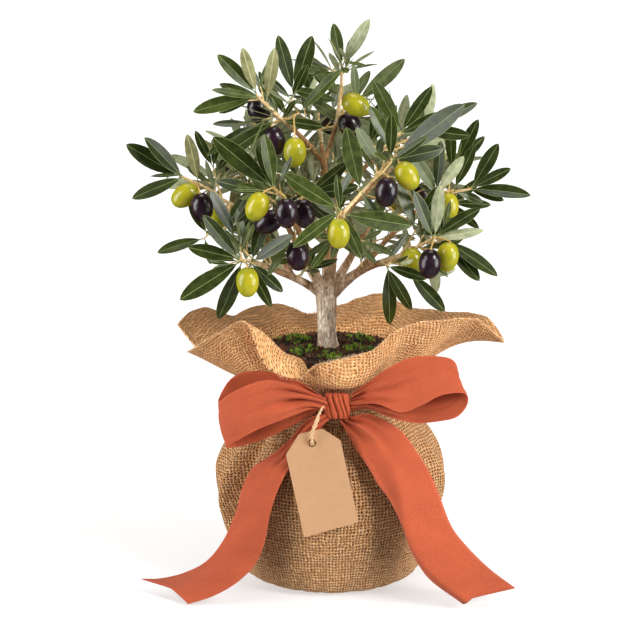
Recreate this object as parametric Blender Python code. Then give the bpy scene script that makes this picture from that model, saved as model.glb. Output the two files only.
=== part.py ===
"""Small olive tree in a burlap sack, with a ribbon bow and a blank tag.

Sizes below are millimetres and are turned into metres where a mesh is made.
The sack's flat underside is at z = 0, the front faces -Y and the tree grows
towards +Z.
"""
import math
import random

import bpy
from mathutils import Matrix, Vector
from mathutils.bvhtree import BVHTree

MM = 0.001
GAP = 0.32

# Sack
SACK_PROFILE = (
    (0.0, 62.0), (1.8, 67.0), (6.0, 72.5), (22.0, 79.0), (42.0, 85.5),
    (64.0, 90.5), (84.0, 91.5), (102.0, 87.0), (118.0, 79.0), (134.0, 67.5),
    (157.0, 59.0),
)
SACK_COLUMNS = 40
CLOTH = 1.6
GATHERS = 16
GATHER_DEPTH = 2.0
SIDE_FOLD_ANGLE = -43.0
SIDE_FOLD_DEPTH = 2.6
COLLAR_COLUMNS = 60
COLLAR_ROWS = 4
COLLAR_FOOT = (157.4, 59.0)
LIP_ANGLE = -6.0
LIP_WIDTH = 16.0
LIP_RISE = 15.0
# angle from +X seen from above, radius, height
COLLAR_RIM = (
    (-108.0, 76.0, 183.0), (-97.0, 77.0, 192.0), (-69.0, 86.0, 203.0),
    (-58.0, 94.0, 219.0), (-48.0, 100.0, 225.0), (-22.0, 120.0, 220.0),
    (-4.0, 138.0, 192.0), (4.5, 128.0, 206.0), (26.0, 103.0, 204.5),
    (45.0, 90.0, 204.0), (61.0, 86.0, 213.0), (90.0, 74.0, 200.5),
    (106.0, 68.0, 198.0), (116.0, 89.0, 202.0), (132.0, 94.0, 203.0),
    (148.0, 95.0, 200.0), (161.0, 110.0, 209.5), (175.0, 123.0, 202.0),
    (187.0, 108.0, 188.0), (200.0, 119.0, 192.0), (215.0, 108.0, 212.0),
    (231.0, 96.0, 227.0), (242.0, 84.0, 200.0),
)

# Soil
SOIL_TOP = 187.0
SOIL_RADIUS = 54.0
SOIL_RINGS = (52.0, 42.0, 30.0, 18.0)
SOIL_COLUMNS = 20
MOSS = (
    (-30.0, 22.0, 15.0, 4.0), (-21.0, -16.0, 13.0, 3.5), (24.0, 26.0, 15.0, 4.0),
    (22.0, -10.0, 12.0, 3.0), (3.0, -33.0, 12.0, 3.0),
)

# Ribbon
RIBBON_THICK = 0.7
KNOT_CENTRE = (4.5, -72.5, 157.5)
KNOT_SIZE = (21.0, 10.0, 20.0)
BAND_HEIGHT = (149.5, 156.8)
BAND_THICK = 0.9
BAND_SWELL_ANGLE = 12.0

# Tag
TAG_THICK = 0.6
TAG_CORNERS = ((-21.0, 60.0), (21.0, 72.0), (7.0, 135.0), (-7.0, 144.0), (-25.0, 140.0), (-35.0, 124.0))
TAG_HOLE = (-15.0, 133.0)
TAG_HOLE_RADIUS = 3.3
TWINE_RADIUS = 1.5

# Plant
LEAF_LONG = 46.0
LEAF_WIDE = 0.285
LEAF_THICK = 0.9
PETIOLE = 4.0
FINE_LEAF = 37.5
LEAF_RINGS = {1: ((0.45, 1.12),), 2: ((0.32, 0.92), (0.68, 0.90))}
PAIR_STEP = 9.0
TWIG_TIP = 0.8
FRUIT_RADIUS = 8.7
FRUIT_HALF = 11.6
FRUIT_SIDES = 6
STALK_RADIUS = 0.7
TRIES = 7
CROWN_CENTRE = Vector((0.0, 0.0, 300.0))
SEED = 41


def smooth(points, steps):
    """Points of a Catmull-Rom curve through the given ones."""
    rows = [Vector(p) for p in points]
    if len(rows) < 3:
        return [rows[0].lerp(rows[-1], i / steps) for i in range(steps + 1)]
    ends = [2 * rows[0] - rows[1]] + rows + [2 * rows[-1] - rows[-2]]
    out = []
    for i in range(1, len(ends) - 2):
        a, b, c, d = ends[i - 1:i + 3]
        for k in range(steps):
            t = k / steps
            out.append(0.5 * (2 * b + (c - a) * t + (2 * a - 5 * b + 4 * c - d) * t * t
                              + (3 * b - a - 3 * c + d) * t ** 3))
    out.append(rows[-1].copy())
    return out


def across(direction, like=Vector((0.0, 0.0, 1.0))):
    """Unit vector square to a direction and as near as can be to another."""
    side = like - direction * like.dot(direction)
    if side.length < 1e-3:
        side = Vector((1.0, 0.0, 0.0)) - direction * direction.x
    return side.normalized()


def tube(points, radii, sides):
    """Closed tapering tube along a row of points."""
    verts = []
    faces = []
    side = None
    last = len(points) - 1
    for i, point in enumerate(points):
        ahead = (points[min(i + 1, last)] - points[max(i - 1, 0)]).normalized()
        side = across(ahead, side or Vector((0.3, 1.0, 0.2)))
        other = ahead.cross(side)
        for k in range(sides):
            a = 2 * math.pi * k / sides
            verts.append(point + (side * math.cos(a) + other * math.sin(a)) * radii[i])
    for i in range(last):
        for k in range(sides):
            n = (k + 1) % sides
            faces.append((i * sides + k, i * sides + n, (i + 1) * sides + n, (i + 1) * sides + k))
    faces.append(tuple(range(sides - 1, -1, -1)))
    faces.append(tuple(last * sides + k for k in range(sides)))
    return verts, faces


def tapered(first, last, count):
    """Radii that fall evenly from one to the other."""
    return [first + (last - first) * i / (count - 1) for i in range(count)]


def make(name, verts, faces, colour):
    """Mesh object in metres with its own material."""
    mesh = bpy.data.meshes.new(name)
    mesh.from_pydata([tuple(c * MM for c in v) for v in verts], [], faces)
    mesh.validate()
    mesh.update()
    body = bpy.data.objects.new(name, mesh)
    bpy.context.scene.collection.objects.link(body)
    mesh.materials.append(material(name, colour))
    return body


def material(name, colour):
    """Plain Principled material of one colour."""
    skin = bpy.data.materials.new(name)
    skin.use_nodes = True
    skin.diffuse_color = (*colour, 1.0)
    shader = skin.node_tree.nodes["Principled BSDF"]
    shader.inputs["Base Color"].default_value = (*colour, 1.0)
    shader.inputs["Roughness"].default_value = 0.75
    return skin


def boolean(body, operation, other=None, group=None, solver="EXACT"):
    """Apply one Boolean with another object or with a collection."""
    step = body.modifiers.new(operation.lower(), "BOOLEAN")
    step.operation = operation
    step.solver = solver
    if group is None:
        step.operand_type = "OBJECT"
        step.object = other
    else:
        step.operand_type = "COLLECTION"
        step.collection = group
    graph = bpy.context.evaluated_depsgraph_get()
    result = bpy.data.meshes.new_from_object(body.evaluated_get(graph))
    body.modifiers.clear()
    body.data = result


def remove(bodies):
    """Take helper objects away again."""
    for body in list(bodies):
        bpy.data.objects.remove(body, do_unlink=True)


def shells(mesh):
    """Connected parts of a mesh, each a set of vertex numbers."""
    root = list(range(len(mesh.vertices)))

    def find(i):
        while root[i] != i:
            root[i] = root[root[i]]
            i = root[i]
        return i

    for edge in mesh.edges:
        a, b = find(edge.vertices[0]), find(edge.vertices[1])
        if a != b:
            root[a] = b
    groups = {}
    for i in range(len(root)):
        groups.setdefault(find(i), set()).add(i)
    return list(groups.values())


def keep_largest(body):
    """Fill sealed hollows and drop loose scraps, so one outer skin is left."""
    parts = shells(body.data)
    if len(parts) < 2:
        return
    mesh = body.data

    def spread(part):
        xs = [mesh.vertices[i].co for i in part]
        return max((max(p[a] for p in xs) - min(p[a] for p in xs)) for a in range(3))

    best = max(parts, key=spread)
    number = {old: new for new, old in enumerate(sorted(best))}
    verts = [tuple(mesh.vertices[i].co) for i in sorted(best)]
    faces = [tuple(number[i] for i in f.vertices) for f in mesh.polygons if f.vertices[0] in best]
    clean = bpy.data.meshes.new(mesh.name)
    clean.from_pydata(verts, [], faces)
    clean.update()
    for skin in mesh.materials:
        clean.materials.append(skin)
    body.data = clean


# Sack and collar
def between(table, x):
    """Straight-line value of a table at x."""
    for (x0, y0), (x1, y1) in zip(table, table[1:]):
        if x <= x1:
            return y0 + (y1 - y0) * (x - x0) / (x1 - x0)
    return table[-1][1]


def gathers(angle, z):
    """Inward depth of the gathers and the side fold at a place on the sack."""
    rise = min(1.0, max(0.0, (z - 70.0) / 75.0))
    wave = 0.5 + 0.5 * math.cos(GATHERS * angle + 1.3 * math.sin(3 * angle))
    turn = math.degrees(angle) - SIDE_FOLD_ANGLE - 0.06 * (z - 40.0)
    turn = (turn + 180.0) % 360.0 - 180.0
    low = max(0.0, 1.0 - abs(z - 45.0) / 55.0)
    fold = SIDE_FOLD_DEPTH * low * math.exp(-(turn / 5.0) ** 2)
    return GATHER_DEPTH * rise * wave + fold


def sack_point(angle, z, inset=0.0):
    """Point of the sack's side, moved inwards by inset."""
    r = between(SACK_PROFILE, z) - gathers(angle, z) - inset
    return Vector((r * math.cos(angle), r * math.sin(angle), z))


def turned_solid(rows, columns):
    """Closed skin from rings of points that start and end at one point."""
    verts = [rows[0][0]]
    for row in rows[1:-1]:
        verts.extend(row)
    verts.append(rows[-1][0])
    faces = [(0, 1 + (k + 1) % columns, 1 + k) for k in range(columns)]
    for i in range(len(rows) - 3):
        a, b = 1 + i * columns, 1 + (i + 1) * columns
        for k in range(columns):
            n = (k + 1) % columns
            faces.append((a + k, a + n, b + n, b + k))
    end = len(verts) - 1
    a = end - columns
    faces.extend((end, a + k, a + (k + 1) % columns) for k in range(columns))
    return verts, faces


def around(columns):
    """Even angles round a circle."""
    return [2 * math.pi * k / columns for k in range(columns)]


def sack_body():
    """Sack from its flat underside to the tie."""
    turns = around(SACK_COLUMNS)
    rows = [[Vector((0.0, 0.0, 0.0))]]
    rows += [[sack_point(a, z) for a in turns] for z, _ in SACK_PROFILE]
    inner = [z for z, _ in SACK_PROFILE[:2:-1] if z not in (42.0, 102.0)]
    rows += [[sack_point(a, z, CLOTH) for a in turns] for z in inner]
    rows += [[sack_point(a, 2.5, CLOTH + 1.0) for a in turns]]
    rows[-1] = [Vector((p.x, p.y, CLOTH)) for p in rows[-1]]
    rows += [[Vector((0.0, 0.0, CLOTH))]]
    return make("sack_body", *turned_solid(rows, SACK_COLUMNS), (0.50, 0.34, 0.19))


def rim(angle):
    """Radius and height of the collar's hem at an angle."""
    turn = math.degrees(angle)
    table = [(a, r, z) for a, r, z in COLLAR_RIM]
    while turn < table[0][0]:
        turn += 360.0
    while turn >= table[0][0] + 360.0:
        turn -= 360.0
    count = len(table)

    def entry(i):
        a, r, z = table[i % count]
        return Vector((a + 360.0 * (i // count), r, z))

    i = max(k for k in range(count) if table[k][0] <= turn)
    a, b, c, d = (entry(i + k) for k in (-1, 0, 1, 2))
    t = (turn - b.x) / (c.x - b.x)
    m0 = (c - a) * ((c.x - b.x) / (c.x - a.x)) * 0.8
    m1 = (d - b) * ((c.x - b.x) / (d.x - b.x)) * 0.8
    h = (b * (2 * t ** 3 - 3 * t ** 2 + 1) + m0 * (t ** 3 - 2 * t ** 2 + t)
         + c * (3 * t ** 2 - 2 * t ** 3) + m1 * (t ** 3 - t ** 2))
    return h.y, h.z


def collar_point(angle, t, inset=0.0):
    """Point of the collar from its foot (t = 0) to its hem (t = 1)."""
    z0, r0 = COLLAR_FOOT
    r1, z1 = rim(angle)
    r0 = r0 - gathers(angle, z0)
    steep = max(0.0, min(1.0, (z1 - z0) / 60.0))
    r = r0 + (r1 - r0) * (t ** (1.0 + 0.1 * steep))
    droop = ((math.degrees(angle) - LIP_ANGLE + 180.0) % 360.0 - 180.0) / LIP_WIDTH
    z = z0 + (z1 - z0) * (t ** 1.12) + LIP_RISE * math.sin(math.pi * t) * math.exp(-droop * droop)
    r += 1.2 * math.sin(math.pi * t) * math.cos(11 * angle)
    slope = math.atan2((z1 - z0), (r1 - r0))
    r -= inset * math.sin(slope)
    z += inset * math.cos(slope) * t
    return Vector((r * math.cos(angle), r * math.sin(angle), z))


def collar():
    """Flared collar above the tie, a closed ring of cloth."""
    turns = around(COLLAR_COLUMNS)
    steps = [k / COLLAR_ROWS for k in range(COLLAR_ROWS + 1)]
    rows = [[collar_point(a, t) for a in turns] for t in steps]
    rows += [[collar_point(a, t, CLOTH) for a in turns] for t in reversed(steps)]
    verts = [p for row in rows for p in row]
    faces = []
    n = COLLAR_COLUMNS
    for i in range(len(rows)):
        j = (i + 1) % len(rows)
        for k in range(n):
            m = (k + 1) % n
            faces.append((i * n + k, i * n + m, j * n + m, j * n + k))
    return make("sack_collar", verts, faces, (0.56, 0.38, 0.21))


def root_ball():
    """Soil that fills the sack, with its top round the trunk."""
    turns = around(SOIL_COLUMNS)
    rng = random.Random(SEED)
    inset = CLOTH + GAP + 1.5

    def ring(r, z, rough=0.0):
        return [Vector((r * math.cos(a), r * math.sin(a), z + rng.uniform(-rough, 0.3 * rough)))
                for a in turns]

    def room(z):
        return min(math.hypot(*sack_point(a, z, inset).xy) for a in around(90))

    rows = [[Vector((0.0, 0.0, CLOTH + GAP))], ring(room(1.8) - 5.0, CLOTH + GAP)]
    rows += [ring(room(z), z) for z in (22.0, 64.0, 84.0, 118.0, 134.0, 156.0)]
    rows += [ring(SOIL_RADIUS, 180.0)]
    rows += [ring(r, SOIL_TOP - 2.2 * (r / SOIL_RADIUS) ** 2, 0.9 * (r > 20)) for r in SOIL_RINGS]
    rows += [[Vector((0.0, 0.0, SOIL_TOP))]]
    return make("root_ball", *turned_solid(rows, SOIL_COLUMNS), (0.06, 0.035, 0.02))


def moss_clump(index, x, y, wide, high):
    """Low cushion of moss lying on the soil."""
    rng = random.Random(SEED + index)
    columns = 7
    near = max(0.0, math.hypot(x, y) - wide)
    base = SOIL_TOP - 2.2 * (near / SOIL_RADIUS) ** 2 + GAP + 0.2
    turns = around(columns)
    spread = [wide * rng.uniform(0.8, 1.1) for _ in turns]
    rows = [[Vector((x, y, base))]]
    for share, rise in ((0.92, 0.0), (1.0, 0.35), (0.66, 0.8)):
        rows.append([Vector((x + r * share * math.cos(a), y + r * share * math.sin(a),
                             base + high * rise * rng.uniform(0.85, 1.1)))
                     for a, r in zip(turns, spread)])
    rows.append([Vector((x, y, base + high))])
    return make(f"moss_{index}", *turned_solid(rows, columns), (0.07, 0.16, 0.02))


# Ribbon, tag and twine
def strip(name, stations, steps, thick=RIBBON_THICK, notch=0.0, colour=(0.62, 0.13, 0.05)):
    """Closed band of cloth; each station is a row of points across it."""
    count = len(stations[0])
    lines = [smooth([s[k] for s in stations], steps) for k in range(count)]
    length = len(lines[0])
    grid = [[lines[k][i] for k in range(count)] for i in range(length)]
    if notch:
        middle = 1
        grid[-1][middle] = grid[-1][middle].lerp(grid[-2][middle], notch)

    def normal(i, k):
        along = grid[min(i + 1, length - 1)][k] - grid[max(i - 1, 0)][k]
        wide = grid[i][min(k + 1, count - 1)] - grid[i][max(k - 1, 0)]
        return along.cross(wide).normalized()

    verts = []
    for sign in (0.5, -0.5):
        for i in range(length):
            for k in range(count):
                verts.append(grid[i][k] + normal(i, k) * thick * sign)
    half = length * count
    faces = []
    for i in range(length - 1):
        for k in range(count - 1):
            a = i * count + k
            b, c, d = a + count, a + count + 1, a + 1
            faces.append((a, b, c, d))
            faces.append((half + a, half + d, half + c, half + b))
    for i in range(length - 1):
        a, b = i * count, (i + 1) * count
        faces.append((a, half + a, half + b, b))
        a, b = a + count - 1, b + count - 1
        faces.append((a, b, half + b, half + a))
    for k in range(count - 1):
        faces.append((k, k + 1, half + k + 1, half + k))
        a = (length - 1) * count + k
        faces.append((a, half + a, half + a + 1, a + 1))
    return make(name, verts, faces, colour)


LOOP_LEFT = (
    ((-6.0, -76.0, 164.0), (-6.0, -76.5, 156.0)),
    ((-26.0, -86.0, 176.0), (-18.0, -84.0, 157.0)),
    ((-47.0, -92.0, 183.0), (-39.0, -92.0, 151.0)),
    ((-63.0, -94.0, 180.0), (-58.0, -95.0, 144.0)),
    ((-78.0, -92.0, 172.0), (-73.0, -94.0, 135.0)),
    ((-87.0, -83.0, 164.0), (-81.0, -86.0, 128.0)),
    ((-80.0, -71.0, 176.0), (-76.0, -77.0, 125.0)),
    ((-69.0, -69.0, 183.0), (-64.0, -75.0, 127.0)),
    ((-52.0, -69.5, 184.0), (-46.0, -76.0, 134.0)),
    ((-33.0, -71.0, 180.0), (-27.0, -76.0, 144.0)),
    ((-18.0, -71.5, 172.0), (-16.0, -73.5, 150.0)),
    ((-6.0, -71.5, 163.0), (-6.0, -71.5, 156.0)),
)
LOOP_RIGHT = (
    ((15.4, -75.0, 167.0), (15.4, -76.0, 159.0)),
    ((29.0, -74.0, 177.0), (35.0, -87.0, 163.0)),
    ((44.0, -74.0, 188.0), (53.0, -94.0, 158.0)),
    ((60.0, -75.0, 196.0), (68.0, -97.0, 164.0)),
    ((77.0, -76.0, 198.0), (84.0, -95.0, 172.0)),
    ((92.0, -77.0, 196.0), (102.0, -90.0, 172.0)),
    ((97.0, -76.0, 187.0), (104.5, -88.0, 163.0)),
    ((91.0, -75.0, 176.0), (97.0, -88.0, 153.0)),
    ((78.0, -74.0, 169.0), (84.0, -87.0, 149.0)),
    ((60.0, -73.0, 165.0), (64.0, -85.0, 147.0)),
    ((43.0, -72.5, 164.0), (44.0, -82.0, 151.0)),
    ((28.0, -72.0, 164.0), (29.0, -77.0, 156.0)),
    ((15.4, -71.5, 162.0), (15.4, -72.0, 156.0)),
)
TAIL_LEFT = (
    ((-7.0, -72.0, 149.0), (-2.0, -72.5, 146.5)),
    ((-19.0, -75.0, 147.0), (-11.0, -78.0, 138.0)),
    ((-31.0, -77.0, 133.0), (-21.0, -84.0, 127.0)),
    ((-48.0, -77.0, 118.0), (-29.0, -90.0, 117.0)),
    ((-61.0, -75.0, 108.0), (-36.0, -93.0, 107.0)),
    ((-69.0, -74.0, 92.0), (-43.0, -95.0, 92.0)),
    ((-75.0, -73.0, 70.0), (-48.0, -96.0, 75.0)),
    ((-84.5, -72.0, 48.0), (-51.5, -95.0, 55.0)),
    ((-99.0, -67.0, 28.0), (-59.0, -94.0, 36.0)),
    ((-118.0, -63.0, 16.5), (-73.0, -93.0, 20.5)),
    ((-136.0, -61.0, 11.5), (-92.0, -92.0, 8.5)),
    ((-151.0, -60.0, 11.0), (-112.0, -91.0, 1.4)),
)
TAIL_RIGHT = (
    ((16.0, -73.0, 149.0), (10.0, -74.0, 146.5), (6.0, -72.5, 146.0)),
    ((29.0, -77.0, 152.0), (21.0, -83.0, 142.0), (12.0, -78.0, 137.0)),
    ((44.0, -79.0, 146.0), (33.0, -90.0, 133.0), (19.0, -85.0, 126.0)),
    ((56.0, -81.0, 137.0), (42.0, -96.0, 121.0), (28.0, -91.0, 114.0)),
    ((67.0, -81.0, 121.0), (48.0, -100.0, 109.0), (36.0, -95.0, 101.0)),
    ((77.0, -80.0, 104.0), (53.0, -101.0, 94.0), (44.0, -96.0, 90.0)),
    ((84.0, -80.0, 87.0), (55.0, -102.0, 80.0), (50.0, -97.0, 79.0)),
    ((94.0, -80.0, 61.5), (58.0, -102.0, 66.0), (55.5, -98.0, 66.0)),
    ((107.5, -80.0, 43.5), (66.0, -102.0, 47.0), (63.0, -98.5, 46.0)),
    ((125.0, -80.0, 26.0), (81.0, -102.0, 28.0), (76.0, -98.0, 25.0)),
    ((145.0, -80.0, 10.5), (111.0, -101.0, 2.2), (103.0, -96.0, 3.4)),
)


def bowed(stations, bow):
    """Two-edge stations given a middle point that bows outwards."""
    out = []
    for index, (a, b) in enumerate(stations):
        a, b = Vector(a), Vector(b)
        nxt = stations[min(index + 1, len(stations) - 1)][0]
        before = stations[max(index - 1, 0)][0]
        along = (Vector(nxt) - Vector(before)).normalized()
        out.append((a, (a + b) / 2 + along.cross(b - a).normalized() * bow, b))
    return out


def ribbon():
    """Bow of four bands, the pleated knot and the band round the neck."""
    strip("ribbon_loop_left", bowed(LOOP_LEFT, 2.0), 2)
    strip("ribbon_loop_right", bowed(LOOP_RIGHT, 1.5), 2)
    strip("ribbon_tail_left", bowed(TAIL_LEFT, 2.0), 1, notch=0.3)
    wide = [tuple(Vector(p) for p in row) for row in TAIL_RIGHT]
    split = [(a, (a + b) / 2, b, c) for a, b, c in wide]
    strip("ribbon_tail_right", split, 1, notch=0.25)
    knot()
    band()


def knot():
    """Rounded knot with pleats running up and down."""
    cx, cy, cz = KNOT_CENTRE
    half = Vector(KNOT_SIZE) / 2
    columns = 14
    rows = [[Vector((cx, cy, cz - half.z))]]
    for share, z in ((0.72, -1.0), (0.95, -0.72), (1.0, 0.0), (0.95, 0.72), (0.72, 1.0)):
        ring = []
        for k, a in enumerate(around(columns)):
            pleat = 1.0 - 0.05 * (k % 2)
            c, s = math.cos(a), math.sin(a)
            x = half.x * share * pleat * math.copysign(abs(c) ** 0.6, c)
            y = half.y * share * pleat * math.copysign(abs(s) ** 0.6, s)
            ring.append(Vector((cx + x, cy + y, cz + half.z * z)))
        rows.append(ring)
    rows.append([Vector((cx, cy, cz + half.z))])
    return make("ribbon_knot", *turned_solid(rows, columns), (0.55, 0.10, 0.04))


def band():
    """Ribbon gathered round the sack's neck, swelling out behind the knot."""
    columns = SACK_COLUMNS
    low, high = BAND_HEIGHT
    bearing = math.atan2(KNOT_CENTRE[1], KNOT_CENTRE[0])
    seat = abs(KNOT_CENTRE[1]) - KNOT_SIZE[1] / 2 - GAP + 0.2

    def ring(z, out):
        points = []
        for a in around(columns):
            r = math.hypot(*sack_point(a, z).xy) + out
            if out > GAP:
                turn = (math.degrees(a - bearing) + 180.0) % 360.0 - 180.0
                share = min(1.0, 1.6 * math.exp(-(turn / BAND_SWELL_ANGLE) ** 2))
                r += (seat - r) * share
            points.append(Vector((r * math.cos(a), r * math.sin(a), z)))
        return points

    rows = [ring(z, GAP + BAND_THICK) for z in (low, high)] + [ring(z, GAP) for z in (high, low)]
    verts = [p for row in rows for p in row]
    faces = []
    for i in range(len(rows)):
        j = (i + 1) % len(rows)
        for k in range(columns):
            m = (k + 1) % columns
            faces.append((i * columns + k, i * columns + m, j * columns + m, j * columns + k))
    return make("ribbon_band", verts, faces, (0.58, 0.11, 0.05))


def tag_y(z):
    """Depth of the tag's middle plane, which leans back towards its top."""
    return -101.5 + (z - 60.0) * 0.135


def tag():
    """Blank card with cut shoulders and a round hole."""
    hole = [(TAG_HOLE[0] + TAG_HOLE_RADIUS * math.cos(a), TAG_HOLE[1] + TAG_HOLE_RADIUS * math.sin(a))
            for a in around(12)]
    outline = []
    for (x0, z0), (x1, z1) in zip(TAG_CORNERS, TAG_CORNERS[1:] + TAG_CORNERS[:1]):
        outline += [(x0 + (x1 - x0) * t, z0 + (z1 - z0) * t) for t in (0.0, 0.5)]

    def bearing(p):
        return math.atan2(p[1] - TAG_HOLE[1], p[0] - TAG_HOLE[0])

    outline.sort(key=bearing)
    hole.sort(key=bearing)
    count = len(outline)
    verts = []
    for out in (-TAG_THICK / 2, TAG_THICK / 2):
        verts += [Vector((x, tag_y(z) + out, z)) for x, z in outline + hole]
    total = count + 12
    faces = []
    for k in range(12):
        n = (k + 1) % 12
        faces.append((k, n, count + n, count + k))
        faces.append((total + k, total + count + k, total + count + n, total + n))
        faces.append((k, total + k, total + n, n))
        faces.append((count + k, count + n, total + count + n, total + count + k))
    return make("tag", verts, faces, (0.60, 0.42, 0.24))


def twine():
    """Loop of twine from the knot through the tag's hole."""
    y = tag_y(TAG_HOLE[1])
    x, z = TAG_HOLE
    front = [(-7.8, -80.5, 160.0), (-11.5, y - 2.4, 153.0), (x - 0.4, y - 3.2, 142.0),
             (x, y - 2.6, z + 1.4), (x + 0.2, y, z - 0.8), (x + 0.3, y + 2.6, z + 1.4),
             (-13.4, -86.0, 141.0), (-9.5, -82.0, 151.5)]
    path = smooth(front, 2)
    return make("twine", *tube(path, [TWINE_RADIUS] * len(path), 6), (0.72, 0.62, 0.44))


# Trunk and boughs
# name, sides, what it starts against, points with the radius last
TRUNK = ((-2.5, -1.0, 187.9, 9.6), (-2.8, -1.0, 192.0, 8.7), (-3.3, -1.0, 205.0, 8.6),
         (-3.6, -1.0, 216.0, 9.2),
         (-3.8, -1.0, 226.0, 10.2), (-4.0, -1.0, 234.0, 11.4), (-4.0, -0.5, 240.0, 10.2),
         (-4.0, 0.0, 244.0, 7.2))
BOUGHS = (
    ("leader", 7, ("trunk",), ((-3.0, 1.0, 236.0, 6.5), (-0.5, 2.0, 252.0, 5.1), (1.0, 3.0, 270.0, 4.2),
                               (-1.0, 4.0, 292.0, 3.7), (-4.0, 4.0, 315.0, 3.2), (-6.0, 0.0, 337.0, 2.7))),
    ("bough_left_front", 7, ("trunk", "leader"), ((-7.0, -4.0, 232.0, 5.0), (-13.0, -14.0, 251.0, 4.0),
                                                  (-19.0, -30.0, 272.0, 3.2), (-30.0, -55.0, 303.0, 2.2))),
    ("bough_right", 7, ("trunk", "leader"), ((2.0, -3.0, 231.0, 5.2), (14.0, -8.0, 244.0, 4.3),
                                             (27.0, -15.0, 253.5, 3.3), (41.0, -28.0, 262.0, 2.6))),
    ("bough_left", 7, ("trunk", "leader", "bough_left_front"), (
        (-8.0, -3.0, 231.0, 4.6), (-20.0, -8.0, 240.0, 3.6), (-36.0, -24.0, 251.0, 3.0),
        (-51.0, -44.0, 261.5, 2.4))),
    ("bough_back_right", 5, ("trunk", "leader", "bough_right"), (
        (1.0, 6.0, 233.0, 4.3), (16.0, 22.0, 255.0, 3.3), (34.0, 45.0, 283.0, 2.2))),
    ("bough_back_left", 5, ("trunk", "leader", "bough_left", "bough_back_right"), (
        (-8.0, 6.0, 232.0, 4.3), (-22.0, 24.0, 254.0, 3.3), (-38.0, 48.0, 281.0, 2.2))),
    ("bough_back", 5, ("trunk", "leader", "bough_back_right", "bough_back_left"), (
        (-3.0, 7.0, 234.0, 4.0), (-5.0, 30.0, 258.0, 3.0), (-6.0, 56.0, 280.0, 2.1))),
    ("bough_far_left", 5, ("bough_left",), ((-30.0, -17.0, 247.0, 2.9), (-44.0, -12.0, 268.0, 2.3),
                                            (-58.0, -9.0, 288.0, 2.0), (-68.0, -10.0, 298.0, 1.8))),
    ("bough_far_right", 5, ("bough_right",), ((22.0, -12.0, 250.0, 2.9), (42.0, -4.0, 272.0, 2.3),
                                              (62.0, 0.0, 292.0, 1.9), (74.0, -6.0, 303.0, 1.7))),
    ("bough_front", 5, ("leader", "bough_left_front", "bough_right"), (
        (1.0, 0.0, 259.0, 3.6), (5.0, -22.0, 276.0, 2.8), (8.0, -48.0, 290.0, 2.2),
        (9.0, -76.0, 304.0, 2.0))),
    ("bough_upper_right", 5, ("leader",), (
        (-2.0, 3.0, 298.0, 3.3), (16.0, -6.0, 322.0, 2.4), (34.0, -24.0, 344.0, 1.8))),
    ("bough_upper_left", 5, ("leader",), (
        (-6.3, 0.0, 337.6, 2.8), (-19.0, -10.0, 353.0, 2.2), (-30.0, -21.0, 366.0, 1.8))),
    ("bough_top", 5, ("leader", "bough_upper_left"), (
        (-5.4, 0.4, 337.8, 2.6), (0.0, 5.0, 352.0, 2.1), (4.0, 4.0, 366.0, 1.7))),
    ("bough_upper_back", 5, ("leader",), (
        (-3.0, 4.0, 308.0, 3.1), (-6.0, 26.0, 330.0, 2.3), (-8.0, 44.0, 346.0, 1.8))),
    ("bough_mid_right", 5, ("leader", "bough_back_right"), (
        (0.0, 4.0, 282.0, 3.1), (22.0, 20.0, 303.0, 2.4), (44.0, 30.0, 322.0, 1.8))),
    ("bough_mid_left", 5, ("leader", "bough_back_left"), (
        (-2.0, 4.0, 287.0, 3.1), (-24.0, 18.0, 306.0, 2.4), (-46.0, 24.0, 322.0, 1.8))),
)

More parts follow.
